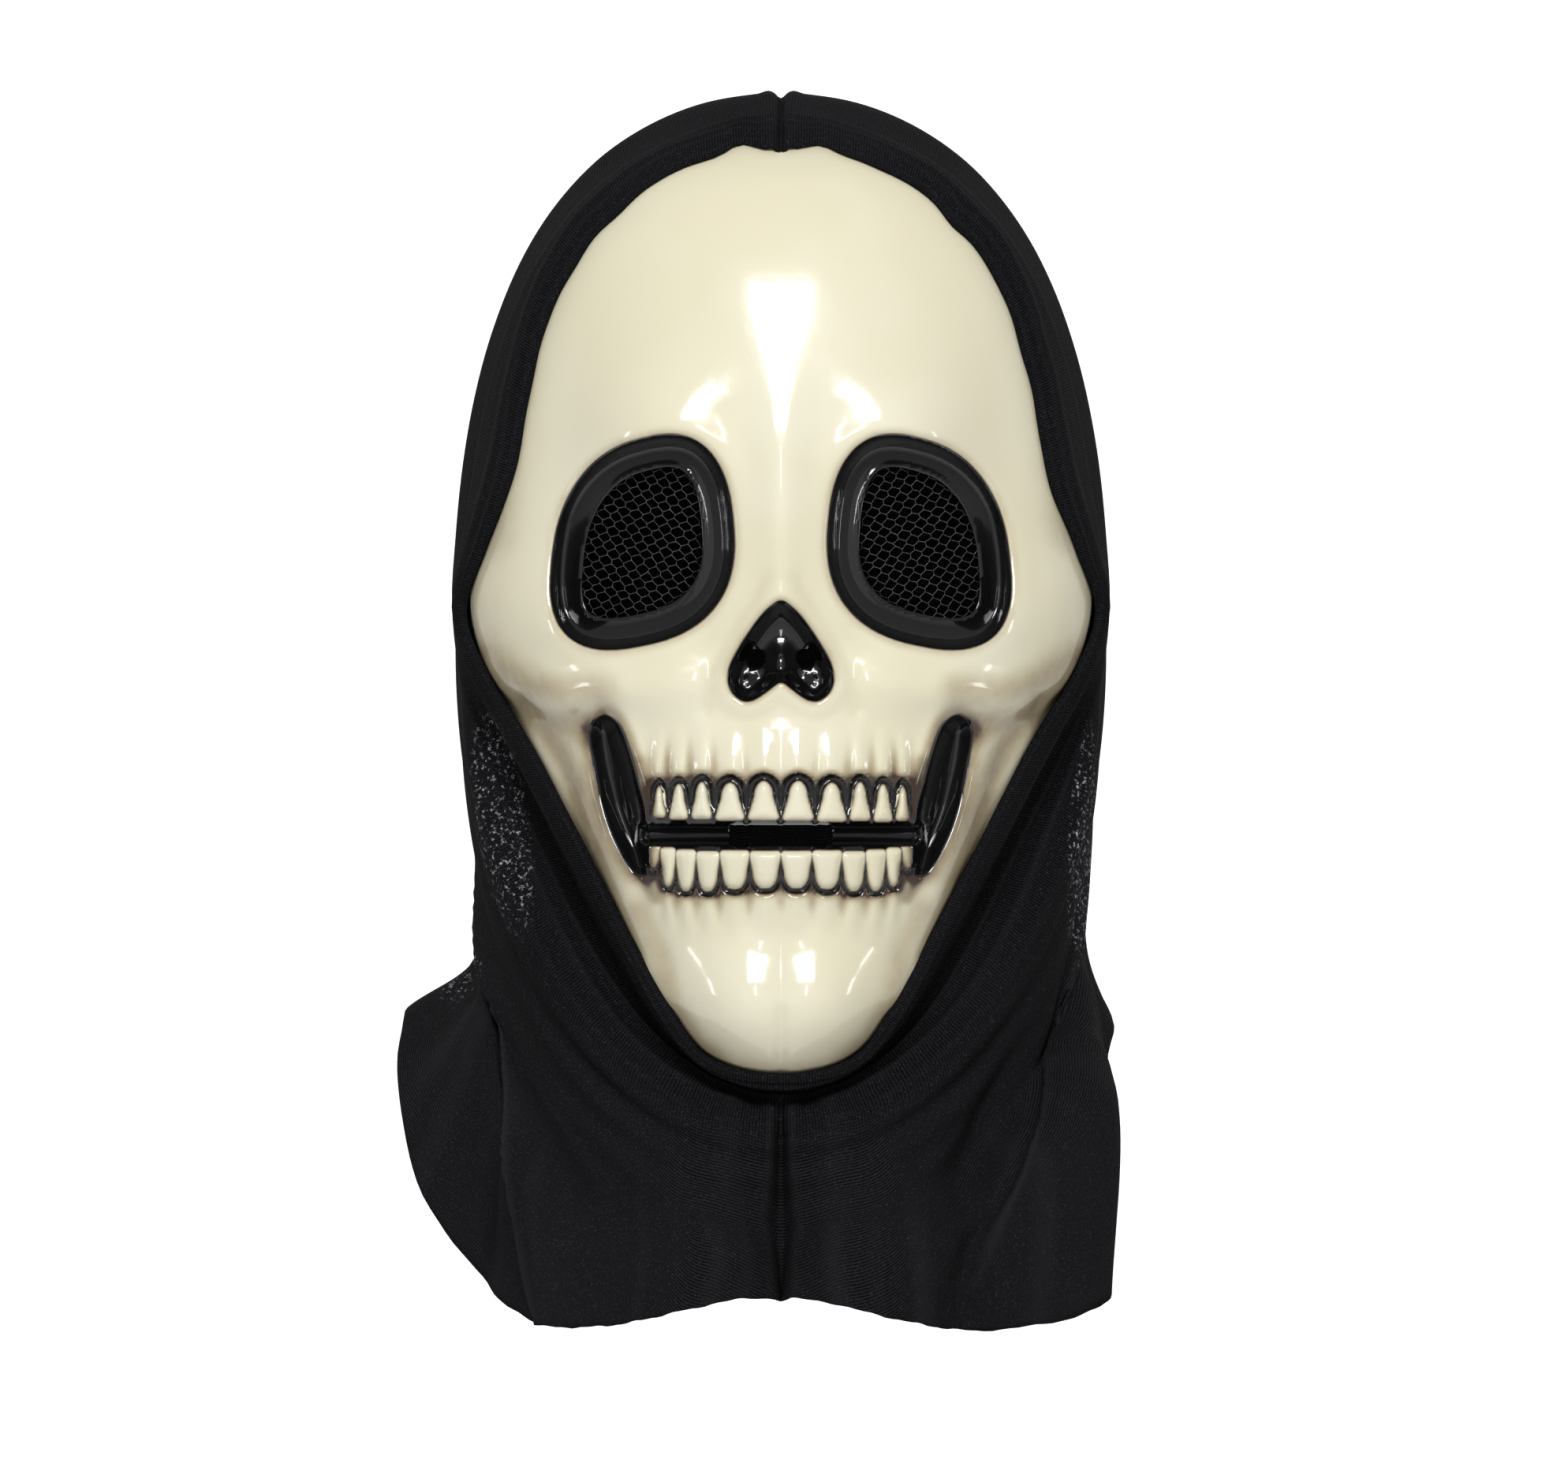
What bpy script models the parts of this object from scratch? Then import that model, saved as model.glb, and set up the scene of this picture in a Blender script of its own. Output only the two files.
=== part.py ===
"""A skull mask with a cloth hood, held as a head wears it.

The origin is where the top of the head meets the inside of the hood. The face looks along -Y
and +Z is up. The hard face is one moulded wall. Behind each eye hole lies a net screen, and the
hood is one cloth from the hem round the face to the hem on the shoulders.
"""

import math

import bmesh
import bpy
import numpy as np

# The moulded face
FACE_HALF_WIDTH = 0.0910
FACE_HEIGHT = 0.275
FACE_BELOW_CROWN = 0.006
FACE_FORWARD = 0.112
FACE_DEPTH = 0.081
FACE_WALL = 0.0022
FACE_COLUMNS = 22
FACE_ROWS = 34
RELIEF_RISE = 0.010

# The part of the face that the hood leaves bare
BARE_HALF_WIDTH = 0.0897
BARE_HEIGHT = 0.2627
BARE_BELOW_CROWN = 0.0153

# Eye sockets
SOCKET_ACROSS = 0.0395
SOCKET_DOWN = 0.1275
SOCKET_WIDTH = 0.0520
SOCKET_HEIGHT = 0.0590
SOCKET_SQUARENESS = 2.5
SOCKET_DROOP = 0.22
SOCKET_DEPTH = 0.0075
SOCKET_WALL_LEAN = 0.0030
SOCKET_LEDGE = 0.0060
SOCKET_CLEAR = 0.0600
SOCKET_POINTS = 20
SCREEN_LAP = 0.0040
SCREEN_THICKNESS = 0.0008
SCREEN_RINGS = (0.60, 0.20)

# Nose cavity and its two breathing holes
NOSE_TOP_DOWN = 0.1442
NOSE_HEIGHT = 0.0285
NOSE_HALF_WIDTH = 0.0150
NOSE_DEPTH = 0.0085
NOSE_TAPER = 0.0012
NOSTRIL_RADIUS = 0.0028
NOSTRIL_ACROSS = 0.0071
NOSTRIL_DOWN = 0.1606

# Mouth
GAP_DOWN = 0.2109
GAP_HEIGHT = 0.0080
GAP_HALF_WIDTH = 0.0375
GAP_DEPTH = 0.0070
GAP_SECTIONS = 12
SLOT_HEIGHT = 0.0056
SLOT_HALF_WIDTH = 0.0150
SIDE_SLOT_DOWN = 0.1770
SIDE_SLOT_LENGTH = 0.0472
SIDE_SLOT_ACROSS = 0.0500
SIDE_SLOT_DEPTH = 0.0075
SIDE_SLOT_TAPER = 0.0010
TOOTH_HEIGHT = 0.0120
TOOTH_STAND = 0.0020
TOOTH_SEAT = 0.0028
TOOTH_TAPER = 0.28
TOOTH_ROUNDING = 0.20
RECESS_WALL = 0.0018
LIP_SHARE = 0.45

# Hood cloth
CLOTH_WALL = 0.0013
CLOTH_CLEARANCE = 0.0009
HOOD_EASE = 0.0006
HOOD_HALF_WIDTH = 0.0935
HOOD_HEIGHT = 0.3517
HOOD_BACK = 0.1050
HOOD_FRONT = 0.1040
HOOD_COLUMNS = 46
HOOD_ROWS = 22
BAND_ROWS = 6
BAND_END = 0.14
FOLD_DEPTH = 0.0060
RIPPLE_DEPTH = 0.0012

# Between pieces that touch
FIT_GAP = 0.0003

# Outline of the face, one row for each angle from the top of the head to the chin. rim and bare
# are shares of the half widths of the moulded rim and of the part left bare, front is the share
# of FACE_FORWARD on the centre line, and depth the share of FACE_DEPTH from there to the rim.
OUTLINE_COLUMNS = ("angle", "rim", "bare", "front", "depth")
OUTLINE = (
    (0, 0.000, 0.000, 0.500, 0.000),
    (15, 0.271, 0.277, 0.625, 0.200),
    (30, 0.554, 0.520, 0.786, 0.490),
    (45, 0.753, 0.679, 0.893, 0.716),
    (60, 0.875, 0.786, 0.960, 0.883),
    (75, 0.948, 0.860, 0.982, 0.963),
    (83, 0.978, 0.940, 0.990, 0.990),
    (90, 1.000, 0.996, 0.994, 1.000),
    (97, 0.962, 0.935, 0.990, 0.950),
    (105, 0.862, 0.814, 0.982, 0.877),
    (120, 0.682, 0.626, 0.990, 0.728),
    (135, 0.524, 0.468, 0.955, 0.540),
    (150, 0.372, 0.337, 0.975, 0.450),
    (165, 0.200, 0.217, 0.900, 0.235),
    (180, 0.000, 0.000, 0.786, 0.000),
)

# Soft forms of the face: where each one is, as shares of FACE_HALF_WIDTH and FACE_HEIGHT, how far
# it reaches across and down, how it leans in degrees, and its rise as a share of RELIEF_RISE.
RELIEF_COLUMNS = ("across", "down", "wide", "tall", "lean", "rise")
RELIEF = {
    "glabella": (0.00, 0.350, 0.20, 0.070, 0, 0.25),
    "brow": (0.36, 0.300, 0.24, 0.060, 12, 0.62),
    "temple": (0.72, 0.330, 0.16, 0.110, 0, -0.55),
    "nose_bridge": (0.00, 0.440, 0.085, 0.110, 0, 0.62),
    "nose_flank": (0.22, 0.560, 0.09, 0.060, 20, -0.15),
    "cheekbone": (0.86, 0.540, 0.24, 0.070, -20, 0.85),
    "cheek_ridge": (0.56, 0.600, 0.34, 0.030, 8, 0.55),
    "cheek_hollow": (0.66, 0.690, 0.14, 0.075, -12, -0.75),
    "jaw_ridge": (0.60, 0.740, 0.07, 0.110, 24, 0.45),
    "upper_jaw": (0.00, 0.690, 0.44, 0.060, 0, 0.55),
    "lower_jaw": (0.00, 0.775, 0.36, 0.040, 0, 0.35),
    "chin": (0.13, 0.915, 0.20, 0.060, 0, 0.60),
    "chin_flank": (0.42, 0.880, 0.07, 0.070, 20, -0.35),
}

# Teeth of the right side, mirrored to the left: the middle of each, its width and its height, as
# shares of GAP_HALF_WIDTH, GAP_HALF_WIDTH and TOOTH_HEIGHT.
TOOTH_COLUMNS = ("across", "width", "height")
UPPER_TEETH = ((0.131, 0.245, 1.00), (0.385, 0.233, 0.95), (0.600, 0.172, 0.86),
               (0.775, 0.158, 0.83), (0.924, 0.124, 0.74))
LOWER_TEETH = ((0.118, 0.225, 0.92), (0.350, 0.216, 0.94), (0.553, 0.170, 0.93),
               (0.720, 0.147, 0.92), (0.855, 0.112, 0.90), (0.965, 0.100, 0.76))

# Outline of the right half of the nose cavity, as shares of its half width and its height.
NOSE_COLUMNS = ("across", "down")
NOSE = ((0.00, 0.000), (0.20, 0.060), (0.40, 0.165), (0.63, 0.330), (0.81, 0.480), (0.94, 0.610),
        (1.00, 0.730), (0.99, 0.835), (0.90, 0.930), (0.72, 1.000), (0.54, 0.995), (0.38, 0.950),
        (0.20, 0.880))
NOSE_NOTCH = 0.815

# Outline of a side slot: shares of SIDE_SLOT_LENGTH down from its top, and how far its outer and
# inner edges lie from the centre line, as shares of SIDE_SLOT_ACROSS.
SIDE_SLOT_COLUMNS = ("down", "outer", "inner")
SIDE_SLOT = ((0.00, 1.030, 0.975), (0.07, 1.096, 0.905), (0.25, 1.078, 0.845),
             (0.44, 1.044, 0.798), (0.59, 1.010, 0.760), (0.75, 0.954, 0.752),
             (0.88, 0.888, 0.752), (0.96, 0.830, 0.755))

# Rings of the hood behind the rim of the face, one row each from the face backwards. back, side
# and front are where a ring crosses the centre line behind, each flank and the centre line in
# front. Lengths along X are shares of HOOD_HALF_WIDTH, along Y of HOOD_BACK where behind the
# crown and of HOOD_FRONT where before it, and down is a share of HOOD_HEIGHT. Squareness below 1
# fills out the corners of a ring.
RING_COLUMNS = ("along", "back_y", "back_down", "side_x", "side_y", "side_down",
                "front_y", "front_down", "square_back", "square_front")
RINGS = (
    (0.27, -0.12, -0.0052, 1.000, -0.06, 0.420, -0.900, 0.838, 0.88, 1.00),
    (0.40, 0.52, 0.035, 0.995, 0.08, 0.450, -0.905, 0.862, 0.88, 0.98),
    (0.54, 0.90, 0.190, 0.975, 0.17, 0.500, -0.920, 0.886, 0.92, 0.92),
    (0.68, 0.93, 0.420, 0.940, 0.22, 0.570, -0.945, 0.910, 0.94, 0.84),
)

# The last two rings, one row for each angle round the hood: the back of the head is 0, the
# viewer's right 90, their left -90 and the front seam 180. The columns are shares as above.
DRAPE_COLUMNS = ("angle", "across", "back", "down")
SHOULDER_ALONG = 0.84
SHOULDER_RING = (
    (-180, 0.000, -0.975, 0.938),
    (-150, -0.520, -0.950, 0.925),
    (-130, -0.830, -0.760, 0.860),
    (-110, -0.930, -0.350, 0.765),
    (-90, -0.920, 0.120, 0.690),
    (-45, -0.720, 0.740, 0.695),
    (0, 0.000, 0.930, 0.700),
    (45, 0.720, 0.740, 0.695),
    (90, 0.930, 0.140, 0.690),
    (110, 0.960, -0.300, 0.735),
    (130, 0.960, -0.700, 0.820),
    (150, 0.600, -0.950, 0.915),
    (180, 0.000, -0.975, 0.938),
)
HEM_RING = (
    (-180, 0.000, -1.000, 0.969),
    (-165, -0.300, -0.990, 0.985),
    (-148, -0.550, -0.970, 0.998),
    (-133, -0.745, -0.900, 0.995),
    (-122, -0.940, -0.720, 0.960),
    (-112, -1.100, -0.500, 0.890),
    (-103, -1.180, -0.300, 0.800),
    (-92, -1.150, -0.020, 0.745),
    (-70, -1.050, 0.450, 0.800),
    (-45, -0.820, 0.800, 0.900),
    (0, 0.000, 1.000, 0.985),
    (45, 0.800, 0.800, 0.900),
    (70, 0.980, 0.450, 0.800),
    (92, 1.020, -0.020, 0.750),
    (108, 1.010, -0.400, 0.830),
    (122, 0.985, -0.720, 0.950),
    (133, 0.935, -0.900, 0.986),
    (148, 0.620, -0.970, 1.000),
    (165, 0.330, -0.990, 0.990),
    (180, 0.000, -1.000, 0.969),
)

# Folds of the drape: the angle round the hood where each starts, how many degrees it drifts and
# spreads, where along the cloth it starts and is full, and its depth as a share of FOLD_DEPTH,
# inwards where negative.
FOLD_COLUMNS = ("angle", "drift", "spread", "start", "full", "depth")
FOLDS = {
    "front_seam": (180, 0, 5, 0.20, 0.60, -1.00),
    "right_of_seam": (166, 0, 9, 0.34, 0.80, 0.70),
    "left_of_seam": (-165, 0, 9, 0.34, 0.80, 0.75),
    "right_valley": (134, 16, 6, 0.40, 0.80, -0.90),
    "right_crest": (122, 10, 7, 0.40, 0.85, 0.60),
    "left_valley": (-124, 2, 6, 0.50, 0.90, -1.00),
    "left_crest": (-135, 2, 7, 0.50, 0.90, 0.55),
    "left_wing": (-108, 0, 7, 0.60, 0.95, 0.50),
    "right_nape": (62, 0, 10, 0.50, 0.90, 0.80),
    "left_nape": (-58, 0, 11, 0.50, 0.90, 0.70),
    "right_back": (34, 0, 9, 0.55, 0.95, -0.80),
    "left_back": (-30, 0, 9, 0.55, 0.95, -0.75),
    "back_seam": (0, 0, 8, 0.55, 0.95, 0.60),
}


def column(rows, names, name, at):
    """Smooth value of one column of a table at the places asked for, by its first column."""
    keys = np.array([row[0] for row in rows], float)
    values = np.array([row[names.index(name)] for row in rows], float)
    slopes = np.gradient(values, keys)
    at = np.clip(np.asarray(at, float), keys[0], keys[-1])
    i = np.clip(np.searchsorted(keys, at, side="right") - 1, 0, len(keys) - 2)
    span = keys[i + 1] - keys[i]
    t = (at - keys[i]) / span
    start = values[i] * (1 + 2 * t) * (1 - t) ** 2 + slopes[i] * span * t * (1 - t) ** 2
    end = values[i + 1] * t * t * (3 - 2 * t) + slopes[i + 1] * span * t * t * (t - 1)
    return start + end


def outline(name, angle):
    return column(OUTLINE, OUTLINE_COLUMNS, name, angle)


def angle_at(z):
    """Angle from the top of the moulded face at a height."""
    down = np.clip((-FACE_BELOW_CROWN - z) / FACE_HEIGHT, 0, 1)
    return np.degrees(np.arccos(1 - 2 * down))


def smooth_step(value, low, high):
    t = np.clip((value - low) / (high - low), 0, 1)
    return t * t * (3 - 2 * t)


def relief(x, z):
    """How far the soft forms stand forward of the plain shell."""
    across = np.abs(x) / FACE_HALF_WIDTH
    down = (-FACE_BELOW_CROWN - z) / FACE_HEIGHT
    total = np.zeros_like(across + down)
    for row in RELIEF.values():
        form = dict(zip(RELIEF_COLUMNS, row))
        lean = math.radians(form["lean"])
        aside = (across - form["across"]) * FACE_HALF_WIDTH
        below = (down - form["down"]) * FACE_HEIGHT
        along = aside * math.cos(lean) + below * math.sin(lean)
        over = below * math.cos(lean) - aside * math.sin(lean)
        wide = form["wide"] * FACE_HALF_WIDTH
        tall = form["tall"] * FACE_HEIGHT
        total += form["rise"] * np.exp(-((along / wide) ** 2) - (over / tall) ** 2)
    return RELIEF_RISE * total


def share_across(x, z):
    """How far a place lies from the centre line to the rim, from 0 to 1."""
    half = np.maximum(outline("rim", angle_at(z)) * FACE_HALF_WIDTH, 1e-6)
    return np.clip(np.abs(x) / half, 0, 1)


def plain_y(x, z):
    """Depth of the plain shell of the face, before its soft forms."""
    angle = angle_at(z)
    front = -FACE_FORWARD * outline("front", angle)
    bow = 1 - np.sqrt(1 - share_across(x, z) ** 2)
    return front + FACE_DEPTH * outline("depth", angle) * bow


def face_y(x, z):
    """Depth of the outside of the moulded face at a place seen from the front."""
    fade = (1 - share_across(x, z) ** 4) * np.sin(np.radians(angle_at(z)))
    return plain_y(x, z) - relief(x, z) * fade


def face_normal(x, z):
    """Outward direction of the face, by small steps across and down."""
    step = 0.0004
    half = outline("rim", angle_at(z)) * FACE_HALF_WIDTH
    x = np.clip(x, -half + step, half - step)
    by_x = (face_y(x + step / 2, z) - face_y(x - step / 2, z)) / step
    by_z = (face_y(x, z + step / 2) - face_y(x, z - step / 2)) / step
    normal = np.stack([by_x, -np.ones_like(by_x), by_z], axis=-1)
    return normal / np.linalg.norm(normal, axis=-1, keepdims=True)


def new_object(name, mesh, collection):
    made = bpy.data.objects.new(name, mesh)
    collection.objects.link(made)
    return made


def finish_material(obj, colour, roughness, metallic=0.0):
    material = bpy.data.materials.new(obj.name)
    material.use_nodes = True
    shader = material.node_tree.nodes["Principled BSDF"]
    shader.inputs["Base Color"].default_value = (*colour, 1)
    shader.inputs["Roughness"].default_value = roughness
    shader.inputs["Metallic"].default_value = metallic
    obj.data.materials.clear()
    obj.data.materials.append(material)
    obj.data.shade_smooth()
    obj.data.set_sharp_from_angle(angle=math.radians(40))


def make_helper(obj):
    obj.hide_render = True
    obj.display_type = "WIRE"
    return obj


def loft(name, loops, collection, ring=False):
    """One closed body through loops of equally many points. A ring joins its last loop to its
    first, and otherwise the first and last loops are filled."""
    bm = bmesh.new()
    rows = [[bm.verts.new(point) for point in loop] for loop in loops]
    pairs = list(zip(rows, rows[1:])) + ([(rows[-1], rows[0])] if ring else [])
    for first, second in pairs:
        for i in range(len(first)):
            j = (i + 1) % len(first)
            bm.faces.new((first[i], first[j], second[j], second[i]))
    if not ring:
        bm.faces.new(rows[0][::-1])
        bm.faces.new(rows[-1])
    bmesh.ops.triangulate(bm, faces=bm.faces)
    bmesh.ops.recalc_face_normals(bm, faces=bm.faces)
    mesh = bpy.data.meshes.new(name)
    bm.to_mesh(mesh)
    bm.free()
    return new_object(name, mesh, collection)


def offset_outline(points, distance):
    """A closed outline of (x, z) points moved outwards, or inwards where negative."""
    points = np.asarray(points, float)
    ahead = np.roll(points, -1, axis=0) - np.roll(points, 1, axis=0)
    ahead /= np.linalg.norm(ahead, axis=1, keepdims=True)
    normal = np.stack([ahead[:, 1], -ahead[:, 0]], axis=1)
    centre = points.mean(axis=0)
    if ((points - centre) * normal).sum() < 0:
        normal = -normal
    return points + normal * distance


def without_hollows(points):
    """The same closed outline with the points of its hollow corners left out."""
    kept = np.asarray(points, float)
    while True:
        before = kept - np.roll(kept, 1, axis=0)
        after = np.roll(kept, -1, axis=0) - kept
        turns = before[:, 0] * after[:, 1] - before[:, 1] * after[:, 0]
        turns *= np.sign(turns.sum())
        if turns.min() > 0:
            return kept
        kept = np.delete(kept, turns.argmin(), axis=0)


def socket_outline(side):
    """A rounded skull orbit whose outer side droops, as a closed run of (x, z) points."""
    turn = np.linspace(0, 2 * np.pi, SOCKET_POINTS, endpoint=False)
    power = 2 / SOCKET_SQUARENESS
    across = np.sign(np.cos(turn)) * np.abs(np.cos(turn)) ** power
    up = np.sign(np.sin(turn)) * np.abs(np.sin(turn)) ** power
    wide = across * SOCKET_WIDTH / 2 * (1 + 0.10 * up * -1)
    tall = up * SOCKET_HEIGHT / 2 - SOCKET_DROOP * SOCKET_WIDTH / 2 * across
    return np.stack([side * (SOCKET_ACROSS + wide), tall - SOCKET_DOWN], axis=1)


def nose_outline():
    """An upturned heart: narrow at the top, two round lobes below, and a point between them."""
    right = np.array(NOSE) * (NOSE_HALF_WIDTH, -NOSE_HEIGHT) + (0, -NOSE_TOP_DOWN)
    notch = [(0.0, -NOSE_TOP_DOWN - NOSE_NOTCH * NOSE_HEIGHT)]
    left = right[:0:-1] * (-1, 1)
    return np.concatenate([right, notch, left])


def side_slot_outline(side):
    """A leaf-shaped slot that leans towards the corner of the mouth."""
    table = np.array(SIDE_SLOT)
    down = -SIDE_SLOT_DOWN - table[:, 0] * SIDE_SLOT_LENGTH
    outer = np.stack([side * table[:, 1] * SIDE_SLOT_ACROSS, down], axis=1)
    inner = np.stack([side * table[:, 2] * SIDE_SLOT_ACROSS, down], axis=1)
    return np.concatenate([outer, inner[::-1]])


def rounded_bar(start, end, width, points_round=5):
    """A stadium outline of (x, z) points round the line from start to end."""
    start, end = np.array(start), np.array(end)
    along = (end - start) / np.linalg.norm(end - start)
    base = math.atan2(along[1], along[0])
    ends = []
    for centre, turn in ((end, base), (start, base + math.pi)):
        for a in np.linspace(-math.pi / 2, math.pi / 2, points_round):
            ends.append(centre + width / 2 * np.array([math.cos(turn + a), math.sin(turn + a)]))
    return np.array(ends)


def gap_ends():
    """Centres of the round ends of the dark gap between the teeth."""
    reach = GAP_HALF_WIDTH - GAP_HEIGHT / 2
    return np.array((-reach, -GAP_DOWN)), np.array((reach, -GAP_DOWN))


def at_depth(points, depth):
    """(x, z) points as 3D points, where depth is a number or a function of x and z."""
    y = depth(points[:, 0], points[:, 1]) if callable(depth) else np.full(len(points), depth)
    return np.stack([points[:, 0], y, points[:, 1]], axis=1)


def lip(x, z):
    """Where the wall of a recess starts: inside the thickness of the face."""
    return face_y(x, z) + LIP_SHARE * FACE_WALL


def floor(depth):
    """A floor that lies at a depth behind the plain shell."""
    return lambda x, z: plain_y(x, z) + depth


def through_cutter(name, points, collection):
    """A straight prism through the face along Y."""
    deepest = float(face_y(points[:, 0], points[:, 1]).max()) + GAP_DEPTH + 3 * RECESS_WALL
    loops = [at_depth(points, -2 * FACE_FORWARD), at_depth(points, deepest)]
    make_helper(loft(name, loops, collection))


def bar_outline_loops(start, end, width, sections, front, back):
    """Cross sections of a round-ended bar along the line from start to end, each a loop of four
    points between the depths front and back."""
    along = (end - start) / np.linalg.norm(end - start)
    aside = np.array((-along[1], along[0]))
    rounding = ((0.49, 0.20), (0.36, 0.70), (0.18, 0.93))
    stations = [(start - along * width * out, share) for out, share in rounding]
    stations += [(start + (end - start) * share, 1.0) for share in np.linspace(0, 1, sections)]
    stations += [(end + along * width * out, share) for out, share in rounding[::-1]]
    loops = []
    for middle, share in stations:
        edges = np.array([middle - aside * share * width / 2, middle + aside * share * width / 2])
        near = at_depth(edges, front)
        far = at_depth(edges, back)
        loops.append([near[0], far[0], far[1], near[1]])
    return loops


def make_groove(name, start, end, width, depth, sections, bosses, cuts):
    """A blind round-ended groove with a thin wall behind it."""
    backing = bar_outline_loops(start, end, width + 2 * RECESS_WALL, sections, lip,
                                floor(depth + RECESS_WALL))
    make_helper(loft(f"{name}_boss", backing, bosses))
    groove = bar_outline_loops(start, end, width, sections, -2 * FACE_FORWARD, floor(depth))
    make_helper(loft(f"{name}_cut", groove, cuts))


def make_recess(name, points, taper, depth, bosses, cuts):
    """A blind recess with sloping walls and a floor, and a thin wall behind it."""
    outside = offset_outline(without_hollows(points), RECESS_WALL)
    inner = offset_outline(points, -taper)
    backing = [at_depth(outside, lip), at_depth(outside, floor(depth + RECESS_WALL))]
    make_helper(loft(f"{name}_boss", backing, bosses))
    hollow = [at_depth(points, -2 * FACE_FORWARD), at_depth(points, lip),
              at_depth(inner, floor(depth))]
    make_helper(loft(f"{name}_cut", hollow, cuts))


def screen_seat(points):
    """The outer edge of the net screen and the edge of the eye hole, inside a socket outline."""
    seat = offset_outline(points, -SOCKET_WALL_LEAN - SOCKET_LEDGE + SCREEN_LAP)
    hole = offset_outline(points, -SOCKET_WALL_LEAN - SOCKET_LEDGE)
    return seat, hole


def make_socket(hand, side, bosses, cuts):
    """An eye socket: a dished wall down to a ledge, and the eye hole inside the ledge."""
    points = socket_outline(side)
    outside = offset_outline(points, RECESS_WALL)
    ledge = offset_outline(points, -SOCKET_WALL_LEAN)
    seat, hole = screen_seat(points)
    inmost = offset_outline(points, -SOCKET_WALL_LEAN - SOCKET_LEDGE - RECESS_WALL)
    behind = floor(SOCKET_DEPTH + RECESS_WALL)
    backing = [at_depth(outside, lip), at_depth(outside, behind), at_depth(seat, behind),
               at_depth(hole, behind), at_depth(inmost, behind),
               at_depth(inmost, floor(SOCKET_DEPTH - RECESS_WALL))]
    make_helper(loft(f"socket_boss_{hand}", backing, bosses, ring=True))
    hollow = [at_depth(points, -2 * FACE_FORWARD), at_depth(points, lip),
              at_depth(ledge, floor(SOCKET_DEPTH)), at_depth(hole, floor(SOCKET_DEPTH)),
              at_depth(hole, -SOCKET_CLEAR)]
    make_helper(loft(f"socket_cut_{hand}", hollow, cuts))


def tooth(name, across, down, width, height, root, collection):
    """A rounded block set on the face, mostly sunk into it and narrower at its root. root is 1
    where the root is above and -1 where it is below."""
    bm = bmesh.new()
    bmesh.ops.create_cube(bm, size=1.0)
    for v in bm.verts:
        v.co.x *= width * (1 - TOOTH_TAPER * (v.co.z * root + 0.5))
        v.co.y *= 2 * TOOTH_SEAT
        v.co.z *= height
    bmesh.ops.bevel(bm, geom=bm.edges[:], offset=TOOTH_ROUNDING * width, segments=1,
                    affect="EDGES", profile=0.5, material=-1)
    normal = face_normal(np.array([across]), np.array([down]))[0]
    for v in bm.verts:
        v.co.y += (v.co.x * normal[0] + v.co.z * normal[2]) / -normal[1]
    y = float(face_y(np.array(across), np.array(down)))
    bmesh.ops.translate(bm, vec=(across, y - TOOTH_STAND + TOOTH_SEAT, down), verts=bm.verts)
    bmesh.ops.triangulate(bm, faces=bm.faces)
    mesh = bpy.data.meshes.new(name)
    bm.to_mesh(mesh)
    bm.free()
    return make_helper(new_object(name, mesh, collection))


def set_teeth(collection):
    upper_edge = -GAP_DOWN + GAP_HEIGHT / 2
    lower_edge = -GAP_DOWN - GAP_HEIGHT / 2
    for side, hand in ((1, "right"), (-1, "left")):
        for jaw, rows, edge, way in (("upper", UPPER_TEETH, upper_edge, 1),
                                     ("lower", LOWER_TEETH, lower_edge, -1)):
            for number, row in enumerate(rows):
                place = dict(zip(TOOTH_COLUMNS, row))
                height = place["height"] * TOOTH_HEIGHT
                across = side * place["across"] * GAP_HALF_WIDTH
                width = place["width"] * GAP_HALF_WIDTH
                tooth(f"{jaw}_{hand}_tooth_{number}", across, edge + way * height / 2,
                      width, height, way, collection)


def face_grid():
    """The outside of the moulded face: a square grid drawn over the outline of the face."""
    bm = bmesh.new()
    bmesh.ops.create_grid(bm, x_segments=FACE_COLUMNS, y_segments=FACE_ROWS, size=1.0)
    for v in bm.verts:
        u, w = v.co.x, v.co.y
        across, up = u * math.sqrt(1 - w * w / 2), w * math.sqrt(1 - u * u / 2)
        radius = math.hypot(across, up)
        crowd = math.sin(radius * math.pi / 2) / radius if radius > 1e-9 else 1.0
        across, up = across * crowd, min(1.0, max(-1.0, up * crowd))
        angle = math.degrees(math.acos(up))
        breadth = math.sqrt(max(1e-12, 1 - up * up))
        share = max(-1.0, min(1.0, across / breadth))
        x = share * float(outline("rim", angle)) * FACE_HALF_WIDTH
        z = -FACE_BELOW_CROWN - FACE_HEIGHT * (1 - up) / 2
        v.co = (x, float(face_y(np.array(x), np.array(z))), z)
    mesh = bpy.data.meshes.new("mask_shell")
    bm.to_mesh(mesh)
    bm.free()
    return mesh


def add_boolean(obj, operation, collection):
    modifier = obj.modifiers.new(operation.lower(), "BOOLEAN")
    modifier.operation = operation
    modifier.operand_type = "COLLECTION"
    modifier.collection = collection
    modifier.solver = "EXACT"


def nostril_cutter(name, side, collection):
    bm = bmesh.new()
    bmesh.ops.create_cone(bm, cap_ends=True, segments=10, radius1=NOSTRIL_RADIUS,
                          radius2=NOSTRIL_RADIUS, depth=8 * NOSE_DEPTH)
    for v in bm.verts:
        v.co = (v.co.x, -v.co.z, v.co.y)
    middle = float(face_y(np.array(NOSTRIL_ACROSS), np.array(-NOSTRIL_DOWN)))
    bmesh.ops.translate(bm, vec=(side * NOSTRIL_ACROSS, middle, -NOSTRIL_DOWN), verts=bm.verts)
    bmesh.ops.recalc_face_normals(bm, faces=bm.faces)
    mesh = bpy.data.meshes.new(name)
    bm.to_mesh(mesh)
    bm.free()
    return make_helper(new_object(name, mesh, collection))


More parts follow.
